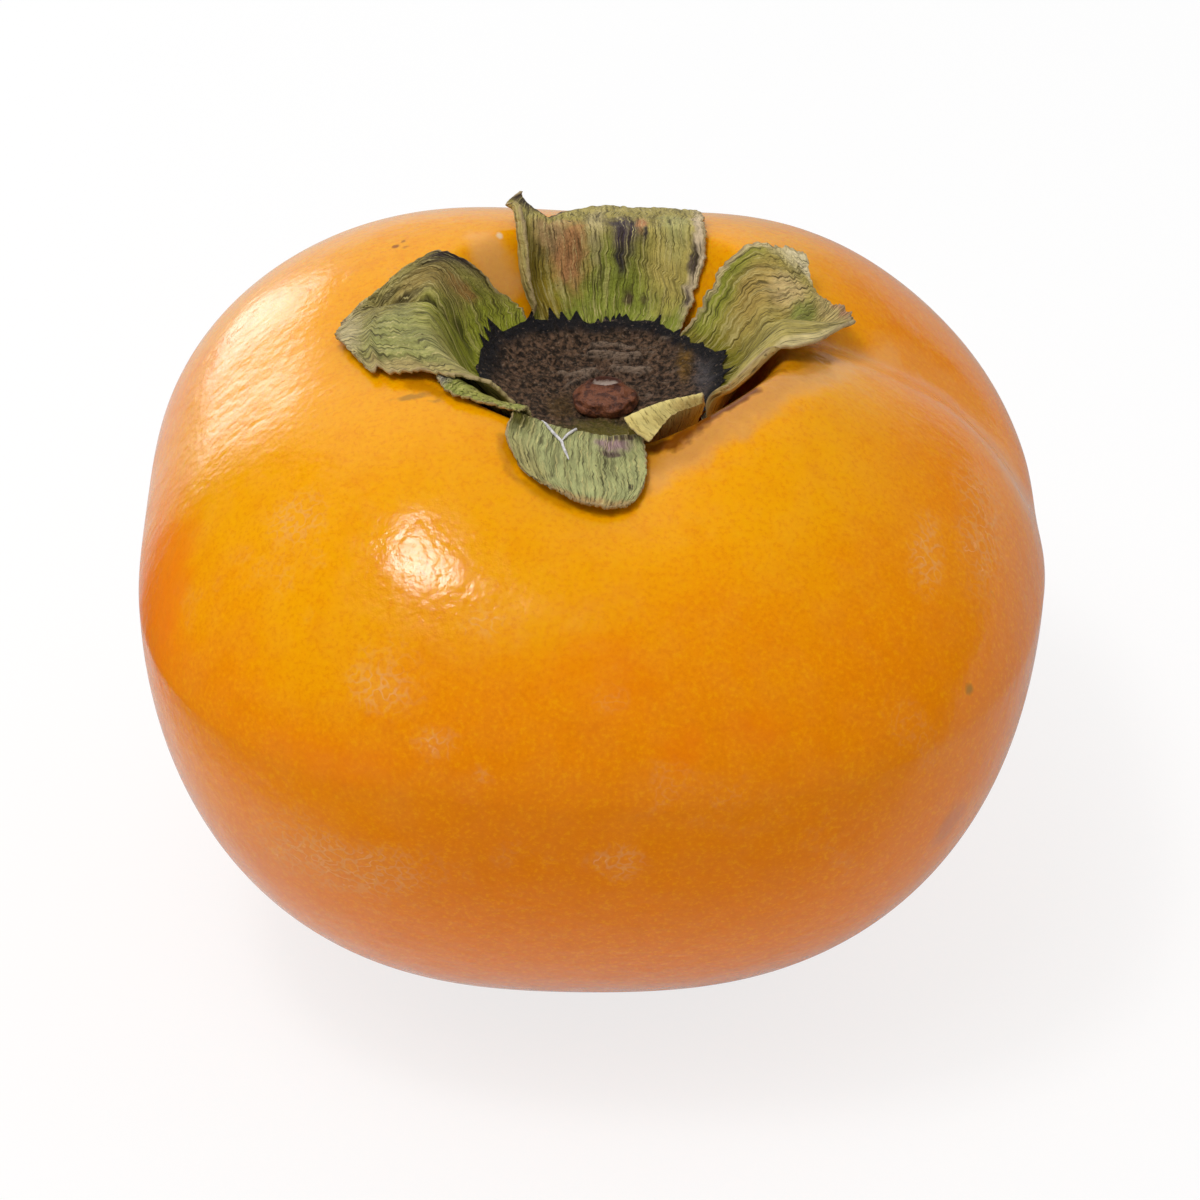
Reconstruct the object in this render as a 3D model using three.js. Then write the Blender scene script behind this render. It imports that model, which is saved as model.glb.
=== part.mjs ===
// A ripe persimmon of the squat, four-lobed kind: the fruit, the corky disc and the broken stem in its
// top, and the four dried sepals that lie over the rim of the hollow.
// Millimetres, +Z up. The origin is the centre of the small flat spot that the fruit rests on.
import * as THREE from "three";

// ---- Driving dimensions of the fruit ----
const LOBE_RADIUS = 43.3; // axis to skin at the widest height, on a lobe
const CREST_HEIGHT = 60.0; // resting spot to the ring round the hollow
const WIDEST_HEIGHT = 38.6;
const REST_RADIUS = 7.0; // flat spot at the blossom end
const CREST_RADIUS = 17.0;
const HOLLOW_DEPTH = 10.8; // crest to the floor of the hollow
const HOLLOW_FULLNESS = 2.6; // 2 is a round bowl, more is a flatter floor with steeper walls
const LOWER_FULLNESS = 2.03; // superellipse powers: 2 is an ellipse
const UPPER_FULLNESS = 1.53;

// Four furrows run from the hollow to the resting spot, at 0, 90, 180 and 270 degrees.
const FURROW = { depth: 0.1, alongX: -0.075, alongY: 0.2 };
const CREST_DIP = { depth: 0.026, alongX: 0.45, alongY: -0.45 };
// The sharp line in the furrow at +X. It lowers the crest too, and fades out down the flank.
const CREASE = { azimuth: 2, width: 9, depth: 0.022, drop: 0.7, spread: 1.5 };
const LEAN = -0.017; // the shoulder at +X is a little lower
const HOLLOW_OFFSET = 1.4; // the hollow's axis lies this far towards +X
const OFFSET_SPAN = [2.7, 3.05]; // the offset comes in over these t of the outline, just before the crest

// ---- Driving dimensions of the calyx ----
const DISC_RADIUS = 10.5;
const DISC_RIM_HEIGHT = 54.2;
const DISC_DISH = 3; // rim to centre
const DISC_THICKNESS = 0.9;
const DISC_RAGGED = [
  { teeth: 7, depth: 0.012, phase: 0 },
  { teeth: 11, depth: 0.008, phase: 1 },
];
const STEM = { radius: 2.3, height: 1.3, gap: 0.3, oval: 0.06 };
// The knob's outline: share of the radius, share of the height above its foot.
const STEM_PROFILE = [
  [0, 0],
  [0.8, 0.09],
  [1, 0.45],
  [0.85, 0.88],
  [0.6, 1],
  [0.35, 0.81],
  [0, 0.73],
];
const SEPAL_THICKNESS = 0.75;
const SEPAL_EDGE = 0.45; // share of the thickness left at a sepal's margin
const SEPAL_MARGIN = 0.25; // share of the sheet over which the margin thins
const SEPAL_ROOT_REACH = 11.2; // where every sepal starts, just outside the disc and level with its rim

// ---- Mesh fineness ----
const FRUIT_SEGMENTS = 80;
const RINGS = { rest: 2, lower: 13, upper: 13, hollow: 10 };
const DISC_SEGMENTS = 48;
const DISC_SHARES = [0, 0.25, 0.5, 0.75, 0.9]; // rings of the disc, as shares of its radius
const STEM_SEGMENTS = 24;
const STEM_RINGS = 14;
const SEPAL_STEPS = { along: 15, across: 12 };
const SHEET_NUDGE = 0.01; // step in along and across for a sheet's normal
const HALVINGS = 30;

const degrees = THREE.MathUtils.degToRad;
const smooth = THREE.MathUtils.smoothstep;

// The fruit's outline before lobing. t runs 0-1 over the resting spot, 1-2 up the lower half,
// 2-3 up to the crest and 3-4 down into the middle of the hollow.
function outline(t) {
  if (t <= 1) return { radius: REST_RADIUS * t, height: 0 };
  const turn = (t % 1 || 1) * (Math.PI / 2);
  if (t <= 2) {
    const power = 2 / LOWER_FULLNESS;
    return {
      radius: REST_RADIUS + (LOBE_RADIUS - REST_RADIUS) * Math.sin(turn) ** power,
      height: WIDEST_HEIGHT * (1 - Math.max(Math.cos(turn), 0) ** power),
    };
  }
  if (t <= 3) {
    const power = 2 / UPPER_FULLNESS;
    return {
      radius: CREST_RADIUS + (LOBE_RADIUS - CREST_RADIUS) * Math.max(Math.cos(turn), 0) ** power,
      height: WIDEST_HEIGHT + (CREST_HEIGHT - WIDEST_HEIGHT) * Math.sin(turn) ** power,
    };
  }
  const share = 4 - t;
  const sunk = 0.5 * (1 + Math.cos(Math.PI * share ** HOLLOW_FULLNESS));
  return { radius: CREST_RADIUS * share, height: CREST_HEIGHT - HOLLOW_DEPTH * sunk };
}

// How strongly a furrow acts at an azimuth: its depth there, as a share.
function furrowAt(azimuth, furrow) {
  const bias = 1 + furrow.alongX * Math.cos(azimuth) + furrow.alongY * Math.sin(azimuth);
  return furrow.depth * bias * Math.cos(2 * azimuth) ** 2;
}

function creaseAt(azimuth) {
  const away = Math.atan2(
    Math.sin(azimuth - degrees(CREASE.azimuth)),
    Math.cos(azimuth - degrees(CREASE.azimuth)),
  );
  return CREASE.depth * Math.exp(-((away / degrees(CREASE.width)) ** 2));
}

// A point of the skin, from the outline's t and the azimuth in radians.
function skinPoint(t, azimuth) {
  const { radius, height } = outline(t);
  const grip = t < 3 ? (height / CREST_HEIGHT) ** 2 : (radius / CREST_RADIUS) ** 2;
  const squeeze = t < 3 ? 1 : grip;
  const crease = creaseAt(azimuth) * Math.min(grip * CREASE.spread, 1);
  const reach = radius * (1 - squeeze * furrowAt(azimuth, FURROW) - crease);
  const dip = grip * furrowAt(azimuth, CREST_DIP) + CREASE.drop * crease;
  const lean = (LEAN * Math.cos(azimuth) * radius) / LOBE_RADIUS;
  return new THREE.Vector3(
    reach * Math.cos(azimuth) + HOLLOW_OFFSET * smooth(t, ...OFFSET_SPAN),
    reach * Math.sin(azimuth),
    height * (1 - dip + lean),
  );
}

// The skin's height at a reach from the hollow's axis, found by halving the range of t, from the
// upper half of the flank to the middle of the hollow.
function skinHeight(reach, azimuth) {
  let outer = 2.6;
  let inner = 4;
  for (let pass = 0; pass < HALVINGS; pass += 1) {
    const middle = (outer + inner) / 2;
    const point = skinPoint(middle, azimuth);
    if (Math.hypot(point.x - HOLLOW_OFFSET, point.y) > reach) outer = middle;
    else inner = middle;
  }
  return skinPoint(inner, azimuth).z;
}

// ---- Geometry helpers ----

// Moves every vertex of a geometry to place(x, y, z, u, v).
function reshape(geometry, place) {
  const position = geometry.getAttribute("position");
  const uv = geometry.getAttribute("uv");
  for (let i = 0; i < position.count; i += 1) {
    const point = place(position.getX(i), position.getY(i), position.getZ(i), uv.getX(i), uv.getY(i));
    position.setXYZ(i, point.x, point.y, point.z);
  }
  geometry.computeVertexNormals();
  return geometry;
}

function steps(from, to, count) {
  return Array.from({ length: count }, (_, i) => from + ((to - from) * (i + 1)) / count);
}

function fruitGeometry() {
  const rings = [
    0,
    ...steps(0, 1, RINGS.rest),
    ...steps(1, 2, RINGS.lower),
    ...steps(2, 3, RINGS.upper),
    ...steps(3, 4, RINGS.hollow),
  ];
  const profile = rings.map((t) => new THREE.Vector2(outline(t).radius, outline(t).height));
  const lathe = new THREE.LatheGeometry(profile, FRUIT_SEGMENTS);
  return reshape(lathe, (x, y, z, u, v) =>
    skinPoint(rings[Math.round(v * (rings.length - 1))], u * 2 * Math.PI),
  );
}

// A shallow dish with a ragged rim. The stem's scar rises in its middle as a piece of its own.
function discGeometry() {
  const centre = DISC_RIM_HEIGHT - DISC_DISH;
  const top = (share) => new THREE.Vector2(DISC_RADIUS * share, centre + DISC_DISH * share ** 2);
  const upper = [...DISC_SHARES, 1].map(top);
  const lower = DISC_SHARES.map((share) => top(share).sub(new THREE.Vector2(0, DISC_THICKNESS)));
  const lathe = new THREE.LatheGeometry([...lower, ...upper.reverse()], DISC_SEGMENTS);
  return reshape(lathe, (x, y, z, u) => {
    const azimuth = u * 2 * Math.PI;
    const waves = DISC_RAGGED.map(({ teeth, depth, phase }) => depth * Math.sin(teeth * azimuth + phase));
    const ragged = waves.reduce((sum, wave) => sum + wave, 0);
    const rimward = smooth(Math.hypot(x, z), DISC_RADIUS / 2, DISC_RADIUS);
    const reach = Math.hypot(x, z) * (1 + ragged * rimward);
    return new THREE.Vector3(HOLLOW_OFFSET + reach * Math.cos(azimuth), reach * Math.sin(azimuth), y);
  });
}

// The broken end of the stem: a low knob with a dimpled top.
function stemGeometry() {
  const foot = DISC_RIM_HEIGHT - DISC_DISH + STEM.gap;
  const profile = STEM_PROFILE.map(
    ([share, rise]) => new THREE.Vector2(share * STEM.radius, foot + rise * STEM.height),
  );
  const rings = new THREE.SplineCurve(profile).getPoints(STEM_RINGS);
  const lathe = new THREE.LatheGeometry(rings, STEM_SEGMENTS);
  return reshape(lathe, (x, y, z, u) => {
    const azimuth = u * 2 * Math.PI;
    const reach = Math.hypot(x, z) * (1 + STEM.oval * Math.cos(2 * azimuth));
    return new THREE.Vector3(HOLLOW_OFFSET + reach * Math.cos(azimuth), reach * Math.sin(azimuth), y);
  });
}

// ---- Sepals ----
// A sepal is a sheet stretched over a net of points. Each row crosses the sepal from one margin to
// the other, and the rows follow each other from its root to its tip. A point of a row is
// [reach from the hollow's axis, azimuth in degrees, lift above the skin]. The root row lies
// level round the disc, between two azimuths.
function netPoint([reach, azimuth, lift]) {
  const angle = degrees(azimuth);
  return new THREE.Vector3(reach * Math.cos(angle), reach * Math.sin(angle), lift);
}

function rootRow([from, to], count) {
  return [from, ...steps(from, to, count - 1)].map((azimuth) => {
    const lift = DISC_RIM_HEIGHT - skinHeight(SEPAL_ROOT_REACH, degrees(azimuth));
    return netPoint([SEPAL_ROOT_REACH, azimuth, lift]);
  });
}

// The point of the sheet at shares along and across, both from 0 to 1.
function sheetOver({ root, rows }) {
  const net = [rootRow(root, rows[0].length), ...rows.map((row) => row.map(netPoint))];
  const ribs = net.map((row) => new THREE.CatmullRomCurve3(row));
  return (along, across) => {
    const spine = new THREE.CatmullRomCurve3(ribs.map((rib) => rib.getPoint(across)));
    const { x, y, z: lift } = spine.getPoint(along);
    const skin = skinHeight(Math.hypot(x, y), Math.atan2(y, x));
    return new THREE.Vector3(x + HOLLOW_OFFSET, y, skin + lift);
  };
}

function sepalGeometry(shape) {
  const sheet = sheetOver(shape);
  const block = new THREE.BoxGeometry(1, 1, 1, SEPAL_STEPS.along, SEPAL_STEPS.across, 1);
  return reshape(block, (x, y, z) => {
    const along = x + 0.5;
    const across = y + 0.5;
    const here = sheet(along, across);
    const outwards = sheet(Math.min(along + SHEET_NUDGE, 1), across).sub(
      sheet(Math.max(along - SHEET_NUDGE, 0), across),
    );
    const sideways = sheet(along, Math.min(across + SHEET_NUDGE, 1)).sub(
      sheet(along, Math.max(across - SHEET_NUDGE, 0)),
    );
    const normal = outwards.cross(sideways).normalize();
    const inward = Math.min(1 - Math.abs(2 * y), 1 - 2 * x, SEPAL_MARGIN) / SEPAL_MARGIN;
    const thickness = SEPAL_THICKNESS * (SEPAL_EDGE + (1 - SEPAL_EDGE) * inward);
    return here.addScaledVector(normal, z * thickness);
  });
}

const SEPALS = {
  // Cupped, with a high back margin, a groove, a swollen ridge and a flap folded over the rim.
  sepal_left: {
    root: [128, 232],
    rows: [
      [
        [13.4, 130, 1.2], [13.6, 150, 1.3], [13.8, 168, 1.1],
        [14, 186, 1.7], [14.6, 208, 2.4], [15.8, 232, 2.2],
      ],
      [
        [15.8, 148, 1.8], [16.2, 160, 1.3], [16.6, 170, 0.9],
        [16.8, 182, 1.8], [17, 200, 1.9], [17.6, 219, 0.9],
      ],
      [
        [19.2, 165, 1.3], [19.5, 170, 0.9], [19.7, 176, 1.4],
        [19.8, 182, 1.6], [20, 188, 1.3], [20.3, 194, 0.9],
      ],
      [
        [23, 176, 0.8], [23.3, 177, 0.8], [23.4, 178, 0.8],
        [23.4, 179, 0.8], [23.3, 180, 0.8], [23, 181, 0.8],
      ],
    ],
  },
  // Stands against the wall of the hollow and bends over the crest, with one raised side margin.
  sepal_back: {
    root: [52, 124],
    rows: [
      [[13.6, 51, 0.9], [13.6, 70, 0.9], [13.7, 90, 0.9], [13.7, 108, 0.9], [13.6, 121, 1.5]],
      [[16.2, 55, 0.8], [16.4, 72, 0.8], [16.5, 90, 0.8], [16.4, 106, 0.8], [16, 117, 1.9]],
      [[18.8, 62, 0.7], [19.2, 76, 0.7], [19.2, 90, 0.7], [18.8, 102, 0.8], [18.2, 112, 2.1]],
      [[21.2, 67, 0.7], [21.8, 78, 0.7], [21.8, 90, 0.7], [21, 100, 0.8], [20, 108, 2.1]],
    ],
  },
  // The front margin crosses the hollow's wall like a chord and stands clear of the skin.
  sepal_right: {
    root: [-74, 48],
    rows: [
      [
        [13.6, -68, 2], [13, -44, 1.8], [13, -18, 1.4],
        [13.3, 6, 1.1], [13.6, 26, 1], [13.8, 44, 1],
      ],
      [
        [13.8, -32, 2.6], [14.6, -12, 1.8], [15.4, 2, 1.2],
        [16, 13, 1], [16.3, 24, 0.9], [16.2, 34, 1.1],
      ],
      [
        [18.2, 0, 2.2], [18.5, 5, 1.4], [18.6, 10, 1],
        [18.6, 17, 0.9], [18.8, 24, 1], [18.9, 31, 1.2],
      ],
      [
        [22.2, 11, 1.8], [22.6, 15, 1.2], [21.6, 18, 0.9],
        [20.6, 21, 0.9], [21.2, 26, 1], [21, 30, 1.3],
      ],
    ],
  },
  // Short and round ended, folded down over the lowest part of the crest.
  sepal_front: {
    root: [236, 282],
    rows: [
      [[14, 240, 1], [14, 252, 0.9], [14, 262, 0.9], [14, 272, 0.9], [14, 281, 1]],
      [[17.2, 243, 0.9], [17, 253, 0.9], [17, 263, 0.9], [17, 273, 0.9], [17, 282, 1]],
      [[19.6, 247, 0.8], [19.9, 256, 0.9], [20, 265, 0.9], [20, 273, 0.9], [19.6, 281, 0.9]],
      [[21, 252, 0.7], [21.7, 259, 0.8], [22.1, 266, 0.8], [22, 272, 0.8], [21.3, 278, 0.7]],
    ],
  },
};

// ---- Materials and assembly ----
const MATERIALS = {
  skin: new THREE.MeshStandardMaterial({ color: 0xec9a12, roughness: 0.32, metalness: 0 }),
  cork: new THREE.MeshStandardMaterial({ color: 0x3b2b23, roughness: 0.8, metalness: 0 }),
  stem: new THREE.MeshStandardMaterial({ color: 0x7c4636, roughness: 0.55, metalness: 0 }),
  sepal: new THREE.MeshStandardMaterial({ color: 0x8c9150, roughness: 0.7, metalness: 0 }),
};

function piece(name, geometry, material) {
  const mesh = new THREE.Mesh(geometry, material);
  mesh.name = name;
  return mesh;
}

const persimmon = new THREE.Group();
persimmon.add(piece("fruit", fruitGeometry(), MATERIALS.skin));

const calyx = new THREE.Group();
calyx.add(piece("calyx_disc", discGeometry(), MATERIALS.cork));
calyx.add(piece("stem_stub", stemGeometry(), MATERIALS.stem));
for (const [name, shape] of Object.entries(SEPALS)) {
  calyx.add(piece(name, sepalGeometry(shape), MATERIALS.sepal));
}
persimmon.add(calyx);

export default persimmon;
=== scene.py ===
"""Looks of a ripe, squat, four-lobed persimmon with its dried calyx.

The fruit rests on its blossom end with the calyx up. The origin is the centre of the resting spot
and +Z is up. Sizes are in millimetres, and become metres only where a mesh is written. Azimuths are
in degrees about the fruit's core, from +X towards +Y.
"""

from __future__ import annotations

import logging
import math
from dataclasses import dataclass
from enum import Enum
from functools import cache

import bpy
import numpy as np
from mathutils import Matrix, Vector, noise
from mathutils.bvhtree import BVHTree

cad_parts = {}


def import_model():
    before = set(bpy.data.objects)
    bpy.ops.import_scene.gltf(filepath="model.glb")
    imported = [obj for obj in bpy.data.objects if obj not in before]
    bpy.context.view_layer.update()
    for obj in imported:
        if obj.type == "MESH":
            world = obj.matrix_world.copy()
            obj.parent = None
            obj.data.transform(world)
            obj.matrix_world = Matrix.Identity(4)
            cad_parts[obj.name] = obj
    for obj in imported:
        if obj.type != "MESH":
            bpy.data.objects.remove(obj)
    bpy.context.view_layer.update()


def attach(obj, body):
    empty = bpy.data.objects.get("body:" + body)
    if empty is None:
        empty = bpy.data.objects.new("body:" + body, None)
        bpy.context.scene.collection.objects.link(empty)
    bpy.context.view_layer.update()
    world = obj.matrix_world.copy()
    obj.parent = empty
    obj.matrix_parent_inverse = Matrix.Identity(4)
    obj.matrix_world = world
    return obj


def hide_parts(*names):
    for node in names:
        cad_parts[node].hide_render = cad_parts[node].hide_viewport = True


LOG = logging.getLogger("persimmon")
MM = 0.001
BODY = "root"
SKY = 90.0

Colour = tuple[float, float, float]
Pair = tuple[float, float]
Triple = tuple[float, float, float]
Socket = bpy.types.NodeSocket


# ---- Small tools -------------------------------------------------------------------------------


def smooth(values: np.ndarray | float, low: float, high: float) -> np.ndarray:
    """Rise smoothly from 0 at low to 1 at high.

    Args:
        values: The values to grade.
        low: Where the rise begins.
        high: Where the rise ends.

    Returns:
        The share of the rise at each value.
    """
    share = np.clip((np.asarray(values, float) - low) / (high - low), 0.0, 1.0)
    return share * share * (3.0 - 2.0 * share)


def ripple(points: np.ndarray, size: float, seed: float = 0.0) -> np.ndarray:
    """Smooth noise between about -1 and 1.

    Args:
        points: One row of x, y, z for each sample, in millimetres.
        size: Width of the noise's features, in millimetres.
        seed: Shifts the noise to another place.

    Returns:
        One value for each point.
    """
    shift = Vector((seed, 1.7 * seed, -0.6 * seed))
    return np.array([noise.noise(Vector(point) / size + shift) for point in points.tolist()])


def spline_weights(shares: np.ndarray, count: int) -> np.ndarray:
    """Weights of a smooth curve that passes through count evenly timed points.

    Args:
        shares: Places on the curve, from 0 to 1.
        count: Number of points that the curve passes through.

    Returns:
        One row of count weights for each place.
    """
    place = np.clip(shares, 0.0, 1.0) * (count - 1)
    first = np.minimum(place.astype(int), count - 2)
    u = place - first
    basis = np.stack(
        [
            0.5 * (-(u**3) + 2 * u**2 - u),
            0.5 * (3 * u**3 - 5 * u**2 + 2),
            0.5 * (-3 * u**3 + 4 * u**2 + u),
            0.5 * (u**3 - u**2),
        ],
        axis=-1,
    )
    # One more point at each end, in line with the last two.
    extended = np.zeros((len(place), count + 2))
    rows = np.arange(len(place))
    for step in range(4):
        extended[rows, first + step] += basis[:, step]
    weights = extended[:, 1:-1].copy()
    weights[:, 0] += 2 * extended[:, 0]
    weights[:, 1] -= extended[:, 0]
    weights[:, -1] += 2 * extended[:, -1]
    weights[:, -2] -= extended[:, -1]
    return weights


def deselect_all() -> None:
    """Leave no object selected."""
    for scene_object in bpy.context.selected_objects:
        scene_object.select_set(False)


def read_points(piece: bpy.types.Object) -> np.ndarray:
    """The vertices of a piece, one row each, in metres.

    Args:
        piece: The piece to read.

    Returns:
        The vertices.
    """
    flat = np.empty(3 * len(piece.data.vertices))
    piece.data.vertices.foreach_get("co", flat)
    return flat.reshape(-1, 3)


def write_points(piece: bpy.types.Object, points: np.ndarray) -> None:
    """Move the vertices of a piece to points given in millimetres."""
    piece.data.vertices.foreach_set("co", np.ascontiguousarray(points * MM, float).ravel())
    piece.data.update()


def new_ball(segments: int, rings: int) -> tuple[bpy.types.Object, np.ndarray]:
    """A unit ball to shape, and its vertices.

    Args:
        segments: Number of faces round it.
        rings: Number of faces from pole to pole.

    Returns:
        The ball and its vertices.
    """
    deselect_all()
    bpy.ops.mesh.primitive_uv_sphere_add(segments=segments, ring_count=rings, radius=1)
    return bpy.context.object, read_points(bpy.context.object)


def add_attribute(piece: bpy.types.Object, name: str, values: np.ndarray) -> None:
    """Store one number for each vertex of a piece, for its material to read."""
    attribute = piece.data.attributes.new(name, "FLOAT", "POINT")
    attribute.data.foreach_set("value", np.ascontiguousarray(values, float))


def finish_piece(piece: bpy.types.Object, name: str, material: bpy.types.Material) -> None:
    """Name a piece, shade it smooth and give it its only material.

    Args:
        piece: The piece.
        name: Its name.
        material: Its material.
    """
    piece.name = name
    piece.data.name = name
    piece.data.polygons.foreach_set("use_smooth", [True] * len(piece.data.polygons))
    piece.data.materials.clear()
    piece.data.materials.append(material)
    piece.data.update()


def stand_for(piece: bpy.types.Object, node: str) -> None:
    """Let a piece ride on the fruit's body in place of a solid, which it hides.

    Args:
        piece: The piece.
        node: The solid that it stands for.
    """
    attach(piece, BODY)
    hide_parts(node)
    LOG.info("%s: %d faces, stands for %s", piece.name, len(piece.data.polygons), node)


def dimmed(colour: Colour, share: float) -> Colour:
    """A colour with only a share of its brightness."""
    return tuple(share * part for part in colour)


# ---- Shader tools ------------------------------------------------------------------------------


class Wiring:
    """Adds and joins the nodes of one material, world or group."""

    def __init__(self, tree: bpy.types.NodeTree) -> None:
        """Start in a tree that is empty, or that holds only what it needs."""
        self.tree = tree

    def add(self, kind: str, **settings: object) -> bpy.types.Node:
        """Add a node and set its properties.

        Args:
            kind: The node's type name, without its leading ShaderNode.
            settings: Properties of the node.

        Returns:
            The new node.
        """
        node = self.tree.nodes.new("ShaderNode" + kind)
        for key, value in settings.items():
            setattr(node, key, value)
        return node

    def feed(self, node: bpy.types.Node, **inputs: object) -> bpy.types.Node:
        """Set or join a node's inputs, with a space in a name written as an underscore.

        Args:
            node: The node to feed.
            inputs: A socket to join, or a value to set, for each named input.

        Returns:
            The same node.
        """
        for key, value in inputs.items():
            self.put(node.inputs[key.replace("_", " ")], value)
        return node

    def put(self, socket: bpy.types.NodeSocket, value: object) -> None:
        """Join an output to a socket, or set its value, with colours padded to four numbers.

        Args:
            socket: The input to feed.
            value: A socket to join, or a value to set.
        """
        if isinstance(value, bpy.types.NodeSocket):
            self.tree.links.new(value, socket)
        elif socket.type == "RGBA" and len(value) == 3:
            socket.default_value = (*value, 1.0)
        else:
            socket.default_value = value

    def fill(self, node: bpy.types.Node, *values: object) -> bpy.types.NodeOutputs:
        """Set or join a node's first inputs, in their order.

        Args:
            node: The node to feed.
            values: A socket to join, or a value to set, for each input.

        Returns:
            The node's outputs.
        """
        for socket, value in zip(node.inputs, values):
            self.put(socket, value)
        return node.outputs

    def math(self, operation: str, *values: object, clamp: bool = False) -> Socket:
        """The result of a Math node on sockets or numbers."""
        return self.fill(self.add("Math", operation=operation, use_clamp=clamp), *values)[0]

    def plus(self, first: object, second: object) -> Socket:
        """The sum of two sockets or numbers."""
        return self.math("ADD", first, second)

    def times(self, first: object, second: object) -> Socket:
        """The product of two sockets or numbers."""
        return self.math("MULTIPLY", first, second)

    def larger(self, first: object, second: object) -> Socket:
        """The larger of two sockets or numbers."""
        return self.math("MAXIMUM", first, second)

    def centred(self, value: object, factor: object) -> Socket:
        """Noise that is moved to lie about zero, times a factor."""
        return self.times(self.math("SUBTRACT", value, 0.5), factor)

    def end_gap(self, share: object) -> Socket:
        """How far a share from 0 to 1 is from the nearer end."""
        return self.math("MINIMUM", share, self.math("SUBTRACT", 1.0, share))

    def vector(self, operation: str, *values: object) -> Socket:
        """The vector that a Vector Math node makes of sockets or vectors."""
        return self.fill(self.add("VectorMath", operation=operation), *values)["Vector"]

    def measure(self, operation: str, *values: object) -> Socket:
        """The number that a Vector Math node makes of sockets or vectors."""
        return self.fill(self.add("VectorMath", operation=operation), *values)["Value"]

    def distance(self, first: object, second: object = (0.0, 0.0, 0.0)) -> Socket:
        """The distance between two points."""
        return self.measure("DISTANCE", first, second)

    def scaled(self, source: object, factor: object) -> Socket:
        """A vector times one number."""
        node = self.feed(self.add("VectorMath", operation="SCALE"), Scale=factor)
        return self.fill(node, source)["Vector"]

    def split(self, source: object) -> bpy.types.NodeOutputs:
        """The parts X, Y and Z of a vector, by name."""
        return self.fill(self.add("SeparateXYZ"), source)

    def flat(self, source: object) -> Socket:
        """A place without its height."""
        return self.vector("MULTIPLY", source, (1.0, 1.0, 0.0))

    def points(self) -> Socket:
        """Places on the piece, in millimetres."""
        return self.scaled(self.add("TexCoord").outputs["Object"], 1 / MM)

    def attribute(self, name: str) -> Socket:
        """A number that the mesh holds for each vertex."""
        return self.add("Attribute", attribute_name=name).outputs["Fac"]

    def noise(
        self, points: object, scale: object, detail: float = 3.0, rough: float = 0.5
    ) -> Socket:
        """Noise from 0 to 1 at points, with scale features to a unit."""
        texture = self.feed(self.add("TexNoise"), Vector=points, Scale=scale, Detail=detail)
        return self.feed(texture, Roughness=rough).outputs["Fac"]

    def grade(self, value: object, low: object, high: object, to: Pair = (0.0, 1.0)) -> Socket:
        """A value's smooth rise from low to high, as a number between the two of to."""
        node = self.add("MapRange", interpolation_type="SMOOTHSTEP")
        return self.fill(node, value, low, high, *to)["Result"]

    def mix(self, share: object, first: object, second: object, blend: str = "MIX") -> Socket:
        """Two colours mixed by a share of the second.

        Args:
            share: Share of the second colour.
            first: The first colour.
            second: The second colour.
            blend: How the second is laid on the first.

        Returns:
            The mixed colour.
        """
        node = self.add("Mix", data_type="RGBA", blend_type=blend, clamp_factor=True)
        for index, value in ((0, share), (6, first), (7, second)):
            self.put(node.inputs[index], value)
        return node.outputs[2]

    def bump(self, relief: object, depth: float) -> Socket:
        """The normal of a relief whose unit is so many millimetres deep."""
        node = self.feed(self.add("Bump"), Strength=1.0, Distance=depth * MM, Height=relief)
        return node.outputs["Normal"]

    def group(self, tree: bpy.types.NodeTree, **inputs: object) -> Socket:
        """The mask of a shared effect, placed with its own values."""
        return self.feed(self.add("Group", node_tree=tree), **inputs).outputs["Mask"]


def new_material(name: str) -> tuple[bpy.types.Material, Wiring, bpy.types.Node]:
    """A material that holds only a shader and its output.

    Args:
        name: The material's name.

    Returns:
        The material, the wiring of its tree, and its Principled shader.
    """
    material = bpy.data.materials.new(name)
    material.use_nodes = True
    material.node_tree.nodes.clear()
    wiring = Wiring(material.node_tree)
    shader = wiring.add("BsdfPrincipled")
    output = wiring.add("OutputMaterial")
    wiring.tree.links.new(shader.outputs["BSDF"], output.inputs["Surface"])
    return material, wiring, shader


def new_group(name: str, **inputs: str) -> tuple[Wiring, bpy.types.NodeOutputs, Socket]:
    """An empty node group that puts out one mask.

    Args:
        name: The group's name.
        inputs: Kind of each input socket, Float or Vector, by name.

    Returns:
        The wiring of its tree, its inputs to read from, and the mask to feed.
    """
    tree = bpy.data.node_groups.new(name, "ShaderNodeTree")
    for key, kind in inputs.items():
        tree.interface.new_socket(name=key, in_out="INPUT", socket_type="NodeSocket" + kind)
    tree.interface.new_socket(name="Mask", in_out="OUTPUT", socket_type="NodeSocketFloat")
    start = tree.nodes.new("NodeGroupInput")
    end = tree.nodes.new("NodeGroupOutput")
    return Wiring(tree), start.outputs, end.inputs["Mask"]


# ---- The fruit's shape -------------------------------------------------------------------------


@dataclass(frozen=True)
class Furrows:
    """Four furrows round the fruit, at 0, 90, 180 and 270 degrees.

    Attributes:
        depth: Share of the radius or height that a furrow takes away.
        along_x: How much more it takes towards +X.
        along_y: How much more it takes towards +Y.
    """

    depth: float
    along_x: float
    along_y: float

    def at(self, azimuth: np.ndarray) -> np.ndarray:
        """The depth at an azimuth in radians, as a share."""
        bias = 1 + self.along_x * np.cos(azimuth) + self.along_y * np.sin(azimuth)
        return self.depth * bias * np.cos(2 * azimuth) ** 2


def turn_between(azimuth: np.ndarray, middle: float) -> np.ndarray:
    """How far azimuths in radians are from a middle in degrees, in degrees from -180 to 180."""
    away = azimuth - math.radians(middle)
    return np.degrees(np.arctan2(np.sin(away), np.cos(away)))


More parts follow.
